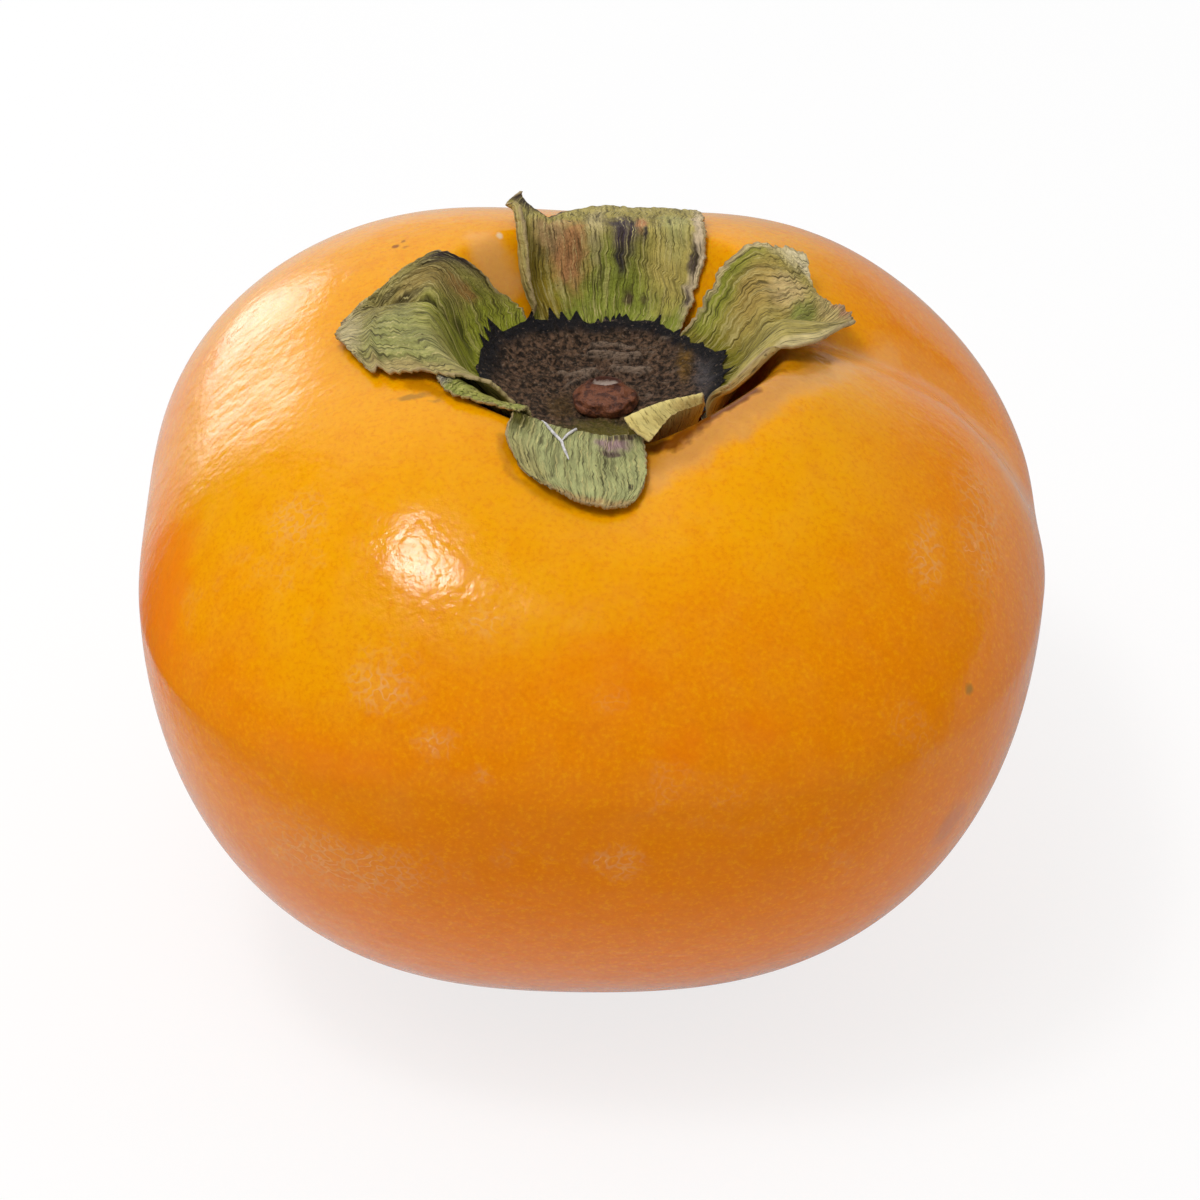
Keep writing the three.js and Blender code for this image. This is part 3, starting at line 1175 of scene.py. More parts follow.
@dataclass(frozen=True)
class SepalFinish:
    """Dried leaf: stained in patches, with painted shade in a few, and streaked along its length by
    pale and dark fibres.

    Attributes:
        base: Colour between the stains.
        under: Colour of the lower face.
        stains: Patches of other colours, some of them painted shade, in the order that they are laid.
        dark: Colour between the fibres.
        light: Colour of the fibres.
        edge: Colour of the margins.
        fibres: Number of fibres across the sepal.
        relief: Depth of the fine relief.
        sway: How far the fibres sway, as a share of the sepal's width.
        ior: Refractive index.
    """

    base: Colour
    under: Colour
    stains: tuple[Stain, ...] = ()
    dark: Colour = (0.050, 0.036, 0.008)
    light: Colour = (0.72, 0.60, 0.24)
    edge: Colour = (0.50, 0.36, 0.19)
    fibres: float = 80.0
    relief: float = 0.34
    sway: float = 0.14
    ior: float = 1.42

    def material(self, name: str) -> bpy.types.Material:
        """Make a sepal's material.

        Args:
            name: The material's name.

        Returns:
            The material.
        """
        material, wiring, shader = new_material(name)
        uv = wiring.add("UVMap", uv_map="UVMap").outputs["UV"]
        points = wiring.points()
        split = wiring.split(uv)
        along, across = split["X"], split["Y"]
        bent = wiring.plus(across, wiring.centred(wiring.noise(points, 0.14, 0.0), self.sway))
        fine = self.streaks(wiring, along, bent, self.fibres, 5.5)
        coarse = self.streaks(wiring, along, bent, self.fibres * 0.34, 2.4)
        grit = wiring.noise(points, 3.4, 3.0, 0.65)
        colour = self.base
        for stain in self.stains:
            shape = {"Centre": (*stain.place, 0.0), "Reach": (*stain.size, 1.0)}
            scale = 1.1 / min(stain.size)
            spot = wiring.group(spot_mask(), Points=uv, Ragged=1.1, Scale=scale, **shape)
            colour = wiring.mix(wiring.times(spot, stain.depth), colour, stain.tint)
        patch = wiring.math("SUBTRACT", wiring.noise(points, 0.9, 3.0), 0.5)
        shade = wiring.plus(wiring.times(patch, 0.9), 0.95)
        colour = wiring.mix(1.0, colour, shade, blend="MULTIPLY")
        below = wiring.attribute("under")
        colour = wiring.mix(below, colour, self.under)
        colour = wiring.mix(wiring.grade(coarse, 0.47, 0.33, (0.0, 0.45)), colour, self.dark)
        colour = wiring.mix(wiring.grade(coarse, 0.53, 0.70, (0.0, 0.40)), colour, self.light)
        colour = wiring.mix(wiring.grade(fine, 0.47, 0.32, (0.0, 0.75)), colour, self.dark)
        colour = wiring.mix(wiring.grade(fine, 0.54, 0.72, (0.0, 0.70)), colour, self.light)
        near = wiring.end_gap(across)
        near = wiring.math("MINIMUM", near, wiring.math("SUBTRACT", 1.0, along))
        near = wiring.plus(near, wiring.times(patch, 0.05))
        colour = wiring.mix(wiring.grade(near, 0.013, 0.003, (0.0, 0.65)), colour, self.edge)
        specks = wiring.group(grain_mask(), Points=points, Scale=2.1, Low=0.66, High=0.72)
        colour = wiring.mix(wiring.times(specks, 0.7), colour, self.dark)
        relief = wiring.plus(fine, wiring.times(coarse, 1.3))
        relief = wiring.plus(relief, wiring.times(grit, 0.45))
        bump = wiring.bump(relief, self.relief)
        wiring.feed(shader, Base_Color=colour, Roughness=0.6, Normal=bump, IOR=self.ior)
        return material

    def streaks(
        self, wiring: Wiring, along: object, bent: object, count: float, length: float
    ) -> Socket:
        """Noise drawn out along the sepal.

        Args:
            wiring: The material's wiring.
            along: The share along the sepal.
            bent: The share across it, swaying a little.
            count: Number of streaks across the sepal.
            length: Number of streaks along it.

        Returns:
            The noise, from 0 to 1.
        """
        place = wiring.add("CombineXYZ")
        wiring.feed(place, X=wiring.times(along, length), Y=wiring.times(bent, count))
        return wiring.noise(place.outputs["Vector"], 1.0, 2.0, 0.6)


def net_row(
    reach: float | tuple[float, ...], azimuth: tuple[float, ...], lift: float | tuple[float, ...]
) -> np.ndarray:
    """One row of a sepal's net, with one reach or lift for all its points where only one is given.

    Args:
        reach: Reaches from the hollow's axis.
        azimuth: Azimuths in degrees.
        lift: Lifts above the skin.

    Returns:
        x and y from the hollow's axis, and the lift, of each point.
    """
    reach, azimuth, lift = np.broadcast_arrays(reach, azimuth, lift)
    return np.column_stack([plan(reach, azimuth), lift])


@dataclass
class Sepal:
    """One dried sepal: a sheet over a net of points, with folds, curls and a ragged margin.

    Each row of the net crosses the sepal from its first margin to its last, and the rows follow
    each other from root to tip. A point is its reach from the hollow's axis, its azimuth in degrees
    and its lift above the skin.

    Attributes:
        node: The solid that it stands for.
        rows: The net.
        finish: Its look.
        part: What it is called after the solid's name.
        folds: Ridges and grooves.
        rolls: Margins that curl.
        notches: Bites out of its margins.
        ragged: Depth of the ragged margin, as a share of the sheet.
        wrinkle: Height of the wrinkles.
        crinkle: Height of the finest ones.
        seed: Shifts its noise to another place.
        steps: Number of faces along and across.
        thickness: Thickness of the sheet.
    """

    node: str
    rows: tuple[np.ndarray, ...]
    finish: SepalFinish
    part: str = "blade"
    folds: tuple[Fold, ...] = ()
    rolls: tuple[Roll, ...] = ()
    notches: tuple[Notch, ...] = ()
    ragged: float = 0.014
    wrinkle: float = 0.15
    crinkle: float = 0.06
    seed: float = 1.0
    steps: tuple[int, int] = (200, 160)
    thickness: float = 0.34

    def build(self) -> bpy.types.Object:
        """Make the sepal and dress it.

        Returns:
            The finished piece.
        """
        deselect_all()
        wide, high = self.steps
        bpy.ops.mesh.primitive_grid_add(x_subdivisions=wide, y_subdivisions=high, size=1)
        blade = bpy.context.object
        flat = np.round(read_points(blade), 5)
        places = [np.unique(flat[:, axis], return_inverse=True)[1].reshape(-1) for axis in (0, 1)]
        sheet = self.sheet(*(np.linspace(0, 1, place.max() + 1) for place in places))
        for roll in self.rolls:
            sheet = roll.apply(sheet)
        write_points(blade, sheet[tuple(places)])
        self.thicken(blade)
        name = f"{self.node}_{self.part}"
        finish_piece(blade, name, self.finish.material(name))
        stand_for(blade, self.node)
        return blade

    def sheet(self, along: np.ndarray, across: np.ndarray) -> np.ndarray:
        """Points of the sheet before its margins curl.

        Args:
            along: Shares from root to tip.
            across: Shares from margin to margin.

        Returns:
            Points, along by across by x, y, z, in millimetres.
        """
        first, last, tip = self.margins(along, across)
        net = np.array(self.rows)
        grid_along = along[:, None] * (1 - tip[None, :] * along[:, None])
        low, high = first[:, None], 1 - last[:, None]
        grid_across = low + across[None, :] * (high - low)
        near = spline_weights(grid_along.ravel(), net.shape[0])
        aside = spline_weights(grid_across.ravel(), net.shape[1])
        points = np.einsum("pr,rck,pc->pk", near, net, aside)
        places = points[:, :2]
        lift = points[:, 2] + sum(fold.lift(places) for fold in self.folds)
        height = SKIN_SHAPE.top_height(places[:, 0], places[:, 1]) + lift
        height = DISH.seated(np.hypot(places[:, 0], places[:, 1]), height)
        inside = smooth(along, 0.0, 0.2)[:, None] * self.calm(across)[None, :]
        relief = self.relief(grid_along.ravel(), grid_across.ravel(), points)
        height = height + inside.ravel() * relief
        result = np.column_stack([places[:, 0] + SKIN_SHAPE.hollow_offset, places[:, 1], height])
        return result.reshape(len(along), len(across), 3)

    def margins(self, along: np.ndarray, across: np.ndarray) -> list[np.ndarray]:
        """How much each margin is cut back.

        Args:
            along: Shares from root to tip.
            across: Shares from margin to margin.

        Returns:
            The cut of the first margin, the last margin and the tip, as shares of the sheet.
        """
        cuts = []
        for margin, places in ((Margin.FIRST, along), (Margin.LAST, along), (None, across)):
            level = np.zeros(len(places))
            samples = np.column_stack([places * 40, level + 10.0 * len(cuts) + self.seed, level])
            rough = ripple(samples, 3.0, self.seed) + 0.9 * ripple(samples, 0.9, self.seed)
            cut = self.ragged * (1.2 + rough)
            if margin is not None:
                cut = cut * smooth(places, 0.05, 0.25)
            if any(roll.margin is margin for roll in self.rolls):
                cut = cut * 0.25
            bites = [notch.bite(places) for notch in self.notches if notch.margin is margin]
            cuts.append(cut + sum(bites))
        return cuts

    def calm(self, across: np.ndarray) -> np.ndarray:
        """How freely the sheet wrinkles at each share across: little where its margin curls.

        Args:
            across: Shares from margin to margin.

        Returns:
            A share of the full wrinkles for each.
        """
        free = np.ones_like(across)
        for roll in self.rolls:
            away = 1 - across if roll.margin is Margin.LAST else across
            free = free * (0.45 + 0.55 * smooth(away, roll.share, 1.8 * roll.share))
        return free

    def relief(self, along: np.ndarray, across: np.ndarray, points: np.ndarray) -> np.ndarray:
        """Wrinkles that fan from the root, finer crinkles among them, and broad waves.

        Args:
            along: Share from root to tip of each point.
            across: Its share from margin to margin.
            points: Its x and y, and its lift.

        Returns:
            The height that they add.
        """
        level = np.zeros(len(along))
        fan = ripple(np.column_stack([along * 3, across * 24, level]), 1.0, self.seed)
        fine = ripple(np.column_stack([along * 7, across * 56, level]), 1.0, self.seed + 20)
        broad = ripple(np.column_stack([points[:, 0], points[:, 1], level]), 3.5, self.seed)
        return self.wrinkle * (fan + 1.4 * broad) + self.crinkle * fine

    def thicken(self, blade: bpy.types.Object) -> None:
        """Give the sheet its thickness, and mark its lower face for the finish.

        Args:
            blade: The sheet.
        """
        count = len(blade.data.vertices)
        wall = blade.modifiers.new("wall", "SOLIDIFY")
        wall.thickness = self.thickness * MM
        wall.offset = 0.0
        bpy.context.view_layer.objects.active = blade
        blade.select_set(True)
        bpy.ops.object.modifier_apply(modifier=wall.name)
        under = np.zeros(len(blade.data.vertices))
        under[count:] = 1.0
        add_attribute(blade, "under", under)
        blade.select_set(False)


LEFT_SEPAL = Sepal(
    node="sepal_left",
    rows=(
        net_row(9.8, (126, 148, 170, 193, 215, 238), (3.2, 3.2, 3.1, 3.2, 3.3, 3.3)),
        net_row(
            (11.4, 11.4, 11.4, 11.4, 11.4, 11.8), (124, 147, 170, 193, 216, 238),
            (2.2, 2.2, 1.8, 2.2, 2.8, 3.7),
        ),
        net_row(
            (12.9, 13.6, 13.9, 14.0, 14.3, 14.6), (128, 146, 164, 184, 206, 234),
            (1.3, 1.4, 1.1, 1.8, 2.6, 3.7),
        ),
        net_row(
            (14.8, 15.6, 16.2, 16.5, 16.7, 16.8), (139, 154, 168, 182, 200, 224),
            (1.6, 1.5, 0.9, 1.9, 2.1, 1.5),
        ),
        net_row(
            (16.2, 17.2, 17.9, 18.2, 18.5, 18.5), (150, 160, 170, 180, 194, 211),
            (1.9, 1.4, 0.8, 1.7, 1.7, 0.9),
        ),
        net_row(
            (18.4, 19.2, 19.7, 19.9, 20.4, 20.9), (161, 167, 173, 180, 190, 203),
            (1.6, 1.2, 0.8, 1.3, 1.3, 0.7),
        ),
        net_row(
            (21.4, 22.2, 22.8, 23.2, 22.4, 21.4), (174, 176, 178, 181, 185, 190),
            (1.2, 0.9, 0.9, 0.9, 0.9, 0.7),
        ),
    ),
    finish=SepalFinish(
        base=(0.38, 0.31, 0.09),
        under=(0.42, 0.36, 0.14),
        stains=(
            Stain((0.05, 0.40), (0.42, 0.80), (0.33, 0.36, 0.020)),
            Stain((0.62, 0.80), (0.36, 0.26), (0.36, 0.35, 0.10)),
            Stain((0.72, 0.97), (0.30, 0.06), (0.52, 0.38, 0.14), 0.8),
            Stain((1.00, 0.60), (0.12, 0.50), (0.66, 0.54, 0.28)),
            Stain((0.55, 0.28), (0.24, 0.14), (0.40, 0.27, 0.07), 0.8),
            Stain((0.38, 0.20), (0.07, 0.07), (0.44, 0.22, 0.06), 0.8),
            # Painted shade: four narrow dark stains that follow the groove from root to tip.
            Stain((0.85, 0.30), (0.18, 0.035), (0.06, 0.040, 0.008), 0.8),
            Stain((0.62, 0.39), (0.16, 0.035), (0.05, 0.035, 0.006), 0.85),
            Stain((0.42, 0.46), (0.14, 0.035), (0.04, 0.035, 0.005), 0.85),
            Stain((0.26, 0.38), (0.10, 0.030), (0.04, 0.040, 0.005), 0.7),
            Stain((0.60, 0.03), (0.13, 0.15), (0.070, 0.050, 0.050)),
        ),
    ),
    folds=(
        Fold((12.0, 161), (14.4, 171), 0.6, rise=-0.7),
        Fold((14.4, 171), (20.0, 171), 0.7, rise=-0.9),
        Fold((16.2, 183), (12.6, 207), 0.8, rise=0.6),
    ),
    notches=(Notch(Margin.FIRST, 0.90, 0.05, 0.07), Notch(Margin.LAST, 0.82, 0.04, 0.05)),
    ragged=0.018,
    seed=1.0,
)

LEFT_FLAP = Sepal(
    node="sepal_left",
    part="fold",
    rows=(
        net_row(10.2, (196, 209, 222, 235, 247), 3.0),
        net_row(13.5, (202, 213, 225, 236, 247), (1.5, 1.5, 1.6, 1.7, 1.9)),
        net_row((15.6, 15.8, 15.8, 15.4, 15.2), (208, 217, 226, 237, 247), (1.1, 1.1, 1.2, 1.3, 1.8)),
        net_row((17.0, 17.8, 17.9, 17.0, 16.2), (214, 220, 226, 234, 247), (0.8, 0.7, 0.7, 0.7, 1.1)),
    ),
    finish=SepalFinish(
        base=(0.38, 0.40, 0.08),
        under=(0.36, 0.34, 0.10),
        stains=(
            Stain((0.85, 0.15), (0.25, 0.18), (0.55, 0.50, 0.38)),
            Stain((0.60, 0.75), (0.40, 0.25), (0.42, 0.38, 0.07)),
        ),
        fibres=46.0,
    ),
    ragged=0.03,
    seed=2.0,
    steps=(90, 110),
)

BACK_SEPAL = Sepal(
    node="sepal_back",
    rows=(
        net_row(9.8, (50, 69, 87, 106, 124), 3.2),
        net_row(11.4, (50, 68, 87, 107, 126), (2.2, 2.0, 1.8, 2.0, 2.2)),
        net_row(13.4, (51, 70, 88, 108, 128), (0.9, 0.9, 0.9, 0.9, 1.4)),
        net_row((15.4, 15.4, 15.4, 15.4, 15.3), (53, 71, 88, 107, 125), (0.9, 0.8, 0.8, 0.9, 1.6)),
        net_row((17.4, 17.4, 17.4, 17.4, 17.2), (58, 73, 88, 105, 121), (0.8, 0.8, 0.8, 0.9, 1.9)),
        net_row((19.6, 19.6, 19.6, 19.6, 18.6), (63, 75, 88, 103, 116), (0.7, 0.7, 0.7, 0.9, 2.2)),
        net_row((22.0, 22.0, 22.0, 21.8, 19.6), (67, 77, 88, 101, 111), (0.7, 0.7, 0.7, 0.9, 2.6)),
    ),
    finish=SepalFinish(
        base=(0.46, 0.37, 0.09),
        under=(0.50, 0.40, 0.13),
        stains=(
            Stain((0.10, 0.50), (0.34, 0.75), (0.29, 0.33, 0.035)),
            Stain((0.30, 0.86), (0.30, 0.12), (0.34, 0.24, 0.015)),
            Stain((0.45, 0.16), (0.30, 0.14), (0.66, 0.52, 0.13)),
            Stain((0.60, 0.16), (0.20, 0.10), (0.46, 0.44, 0.15), 0.8),
            Stain((0.55, 0.02), (0.40, 0.05), (0.80, 0.62, 0.40)),
            Stain((0.42, 0.68), (0.22, 0.11), (0.58, 0.27, 0.10)),
            Stain((0.60, 0.76), (0.16, 0.10), (0.50, 0.30, 0.14), 0.8),
            Stain((0.55, 0.55), (0.30, 0.05), (0.60, 0.48, 0.22), 0.8),
            Stain((0.49, 0.415), (0.20, 0.095), (0.070, 0.045, 0.060)),
            Stain((0.34, 0.42), (0.06, 0.03), (0.05, 0.04, 0.04)),
            Stain((0.56, 0.33), (0.10, 0.035), (0.56, 0.26, 0.10)),
            Stain((0.47, 0.31), (0.06, 0.014), (0.05, 0.035, 0.03)),
            Stain((0.20, 0.38), (0.04, 0.04), (0.09, 0.05, 0.03), 0.9),
            Stain((0.21, 0.29), (0.03, 0.03), (0.10, 0.06, 0.03), 0.7),
            Stain((1.00, 0.88), (0.16, 0.14), (0.07, 0.045, 0.03)),
            Stain((0.99, 0.74), (0.07, 0.10), (0.10, 0.06, 0.05)),
            Stain((0.96, 0.99), (0.16, 0.08), (0.09, 0.06, 0.04)),
            Stain((0.45, 0.05), (0.06, 0.03), (0.08, 0.05, 0.06), 0.9),
            Stain((0.30, 0.03), (0.05, 0.02), (0.08, 0.05, 0.06), 0.8),
        ),
    ),
    rolls=(Roll(Margin.LAST, (0.18, 0.72), 0.11, 0.85, 215.0),),
    notches=(Notch(None, 0.76, 0.24, 0.42),),
    ragged=0.016,
    seed=3.0,
)

RIGHT_SEPAL = Sepal(
    node="sepal_right",
    rows=(
        net_row(9.8, (-30, -20, -6, 10, 28, 48), 3.2),
        net_row(
            (12.6, 11.4, 11.4, 11.4, 11.4, 11.4), (-41, -27, -7, 10, 29, 49),
            (3.6, 4.6, 2.6, 2.1, 2.1, 2.3),
        ),
        net_row(
            (14.0, 12.3, 13.2, 13.4, 13.6, 13.7), (-38, -23, -4, 12, 30, 49),
            (2.2, 4.7, 2.0, 1.1, 1.0, 1.3),
        ),
        net_row(
            (14.9, 13.2, 15.2, 15.8, 15.9, 15.3), (-29, -14, 2, 15, 29, 44),
            (1.5, 4.2, 1.4, 0.9, 1.0, 1.8),
        ),
        net_row(
            (16.3, 15.0, 17.3, 17.7, 17.8, 17.2), (-18, -5, 8, 18, 28, 38),
            (1.2, 2.8, 1.4, 0.9, 1.2, 2.1),
        ),
        net_row(
            (18.9, 18.4, 19.6, 19.6, 19.6, 19.2), (-7, 4, 14, 20, 27, 35),
            (2.3, 2.6, 1.5, 1.1, 1.4, 2.3),
        ),
        net_row(
            (22.2, 23.0, 22.4, 20.6, 20.2, 21.0), (11, 16, 20, 22, 25, 32),
            (3.8, 3.0, 2.2, 1.4, 1.5, 2.5),
        ),
    ),
    finish=SepalFinish(
        base=(0.52, 0.41, 0.10),
        under=(0.52, 0.38, 0.13),
        stains=(
            Stain((0.08, 0.60), (0.30, 0.75), (0.22, 0.19, 0.008)),
            Stain((0.40, 0.95), (0.24, 0.16), (0.36, 0.38, 0.04)),
            Stain((0.50, 0.78), (0.28, 0.16), (0.54, 0.37, 0.09)),
            Stain((0.70, 0.55), (0.16, 0.12), (0.31, 0.33, 0.06), 0.9),
            Stain((0.66, 0.74), (0.20, 0.10), (0.70, 0.50, 0.22), 0.8),
            Stain((0.34, 0.22), (0.34, 0.09), (0.34, 0.28, 0.035)),
            Stain((0.60, 0.03), (0.60, 0.055), (0.78, 0.62, 0.27)),
            Stain((0.30, 0.20), (0.30, 0.025), (0.12, 0.08, 0.01), 0.8),
            Stain((0.16, 0.05), (0.08, 0.09), (0.66, 0.34, 0.22), 0.9),
            # Painted shade at the root by the front margin, next to the fold.
            Stain((0.00, 0.02), (0.11, 0.22), (0.05, 0.02, 0.004)),
            Stain((0.98, 0.45), (0.16, 0.40), (0.64, 0.48, 0.18)),
            Stain((0.95, 0.97), (0.24, 0.17), (0.95, 0.80, 0.48)),
            Stain((0.55, 0.99), (0.40, 0.025), (0.75, 0.60, 0.30)),
            Stain((1.00, 0.35), (0.04, 0.20), (0.62, 0.30, 0.16), 0.9),
        ),
    ),
    rolls=(Roll(Margin.FIRST, (0.10, 0.66), 0.05, 0.40, 190.0),),
    folds=(Fold((16.0, 6), (19.8, 21), 0.7, rise=0.4),),
    ragged=0.018,
    seed=4.0,
)

RIGHT_FLAP = Sepal(
    node="sepal_right",
    part="fold",
    rows=(
        net_row((10.5, 10.5, 10.5, 10.6), (281, 291, 301, 313), (3.0, 3.0, 3.0, 3.2)),
        net_row((13.5, 13.3, 13.1, 13.3), (279, 288, 299, 310), (2.6, 2.9, 3.1, 3.0)),
        net_row((15.8, 15.1, 14.7, 14.9), (277, 285, 294, 305), (2.8, 3.5, 3.7, 3.0)),
        net_row((17.4, 16.1, 15.3, 15.1), (283, 289, 296, 304), (1.8, 1.8, 2.0, 2.0)),
    ),
    finish=SepalFinish(
        base=(0.78, 0.63, 0.22),
        under=(0.66, 0.55, 0.20),
        stains=(
            Stain((0.60, 0.00), (0.60, 0.10), (0.72, 0.56, 0.18)),
            Stain((0.90, 0.80), (0.20, 0.25), (0.52, 0.34, 0.10), 0.7),
            # Painted shade on the fold's lower part, by its root.
            Stain((0.08, 0.60), (0.32, 0.90), (0.045, 0.018, 0.004)),
        ),
        dark=(0.26, 0.18, 0.04),
        fibres=34.0,
        relief=0.14,
    ),
    wrinkle=0.07,
    crinkle=0.03,
    seed=5.0,
    steps=(90, 80),
)

FRONT_SEPAL = Sepal(
    node="sepal_front",
    rows=(
        net_row(9.8, (238, 249, 261, 272, 284), 3.2),
        net_row(11.4, (238, 249, 260, 271, 283), 2.2),
        net_row(14.0, (240, 251, 262, 272, 283), (1.0, 0.9, 0.9, 0.9, 1.1)),
        net_row(16.4, (242, 252, 262, 272, 283), (0.9, 0.8, 0.8, 0.9, 1.0)),
        net_row((18.7, 18.9, 19.0, 19.0, 18.7), (244, 253, 263, 272, 282), 0.8),
        net_row((20.6, 21.2, 21.4, 21.4, 20.6), (249, 256, 264, 273, 280), (0.7, 0.8, 0.8, 0.8, 0.7)),
        net_row((21.6, 22.6, 23.2, 23.3, 22.4), (254, 260, 266, 272, 277), (0.7, 0.8, 0.8, 0.8, 0.7)),
    ),
    finish=SepalFinish(
        base=(0.46, 0.47, 0.19),
        under=(0.42, 0.40, 0.18),
        stains=(
            Stain((0.20, 0.50), (0.25, 0.60), (0.20, 0.16, 0.025)),
            Stain((0.50, 0.05), (0.17, 0.16), (0.10, 0.09, 0.006)),
            Stain((0.85, 0.10), (0.20, 0.20), (0.45, 0.38, 0.14), 0.8),
            Stain((0.50, 0.78), (0.06, 0.16), (0.42, 0.27, 0.27)),
            Stain((0.44, 0.86), (0.03, 0.16), (0.09, 0.05, 0.04), 0.9),
            Stain((0.57, 0.76), (0.025, 0.10), (0.16, 0.09, 0.09), 0.9),
            Stain((1.00, 0.60), (0.07, 0.50), (0.54, 0.34, 0.13)),
            Stain((0.82, 0.88), (0.03, 0.03), (0.06, 0.05, 0.03), 0.9),
        ),
        fibres=60.0,
    ),
    ragged=0.012,
    seed=6.0,
)

SEPALS = (LEFT_SEPAL, LEFT_FLAP, BACK_SEPAL, RIGHT_SEPAL, RIGHT_FLAP, FRONT_SEPAL)


# ---- The disc and the stem ---------------------------------------------------------------------


def surface_of(pieces: list[bpy.types.Object]) -> BVHTree:
    """One search tree over the faces of several pieces, in millimetres.

    Args:
        pieces: The pieces.

    Returns:
        The search tree.
    """
    corners, faces = [], []
    for piece in pieces:
        start = len(corners)
        corners.extend((read_points(piece) / MM).tolist())
        faces.extend([start + corner for corner in face.vertices] for face in piece.data.polygons)
    return BVHTree.FromPolygons(corners, faces)


def drop_on(surface: BVHTree, x: float, y: float, missing: float) -> float:
    """The height at which a fall from above meets a surface, or the missing one."""
    place = surface.ray_cast(Vector((x, y, SKY)), Vector((0.0, 0.0, -1.0)))[0]
    return missing if place is None else place.z


@dataclass(frozen=True)
class CorkPatch:
    """A patch of another colour on the disc.

    Attributes:
        middle: Its middle, from the disc's axis.
        reach: Its half width along X and Y.
        tint: Its colour.
        depth: How strongly it shows.
        mottle: Share of its brightness that is left between the grains.
    """

    middle: Pair
    reach: Pair
    tint: Colour
    depth: float
    mottle: float = 0.35


@dataclass(frozen=True)
class CorkFinish:
    """Dark, wrinkled cork with pale fibres, and a blue-black border."""

    dark: Colour = (0.020, 0.011, 0.007)
    light: Colour = (0.200, 0.110, 0.062)
    grey: Colour = (0.34, 0.24, 0.17)
    relief: float = 0.45
    border: Colour = (0.012, 0.011, 0.016)
    patches: tuple[CorkPatch, ...] = (
        CorkPatch((0.2, -6.0), (4.6, 4.0), (0.165, 0.130, 0.014), 0.95, 0.8),
        CorkPatch((-3.6, -1.0), (1.4, 2.4), (0.170, 0.090, 0.022), 0.8),
        CorkPatch((4.2, -2.6), (1.8, 2.0), (0.150, 0.115, 0.020), 0.8),
        CorkPatch((7.2, 4.4), (0.8, 2.8), (0.26, 0.13, 0.022), 1.0),
        CorkPatch((9.9, 2.2), (2.3, 4.6), (0.11, 0.10, 0.11), 0.9),
        CorkPatch((-9.6, 3.4), (1.2, 3.0), (0.010, 0.010, 0.014), 0.8),
        CorkPatch((-5.4, 8.9), (2.2, 1.3), (0.010, 0.010, 0.016), 0.9),
        CorkPatch((5.4, 9.4), (3.0, 1.2), (0.012, 0.011, 0.022), 0.9),
    )

    def material(self) -> bpy.types.Material:
        """Make the disc's material.

        Returns:
            The material.
        """
        material, wiring, shader = new_material("cork")
        points = wiring.points()
        points = wiring.vector("SUBTRACT", points, (SKIN_SHAPE.hollow_offset, 0.0, 0.0))
        flat = wiring.flat(points)
        streak = wiring.noise(wiring.vector("MULTIPLY", points, (0.4, 2.4, 1.0)), 1.0, 4.0, 0.65)
        grain = wiring.noise(points, 2.4, 4.0, 0.7)
        colour = wiring.mix(wiring.grade(grain, 0.40, 0.64), self.dark, self.light)
        for patch in self.patches:
            shape = {"Centre": (*patch.middle, 0.0), "Reach": (*patch.reach, 1.0)}
            spot = wiring.group(spot_mask(), Points=flat, Ragged=1.1, Scale=0.9, **shape)
            between = dimmed(patch.tint, patch.mottle)
            tint = wiring.mix(wiring.grade(grain, 0.36, 0.66), between, patch.tint)
            colour = wiring.mix(wiring.times(spot, patch.depth), colour, tint)
        rim = wiring.plus(wiring.attribute("rim"), wiring.centred(grain, 0.22))
        colour = wiring.mix(wiring.grade(rim, 0.86, 0.95), colour, self.border)
        middle = wiring.grade(wiring.distance(flat, (1.5, 4.6, 0.0)), 7.0, 3.0)
        lines = wiring.times(wiring.grade(streak, 0.55, 0.68, (0.0, 0.6)), middle)
        colour = wiring.mix(lines, colour, self.grey)
        ridge = wiring.grade(wiring.attribute("ridge"), 0.12, 0.55, (0.0, 0.7))
        ridge = wiring.times(ridge, wiring.grade(grain, 0.30, 0.55))
        colour = wiring.mix(ridge, colour, self.grey)
        specks = wiring.group(grain_mask(), Points=points, Scale=3.2, Low=0.60, High=0.68)
        colour = wiring.mix(wiring.times(specks, 0.5), colour, self.grey)
        relief = wiring.plus(grain, wiring.times(streak, 0.8))
        bump = wiring.bump(relief, self.relief)
        wiring.feed(shader, Base_Color=colour, Roughness=0.5, Normal=bump)
        return material


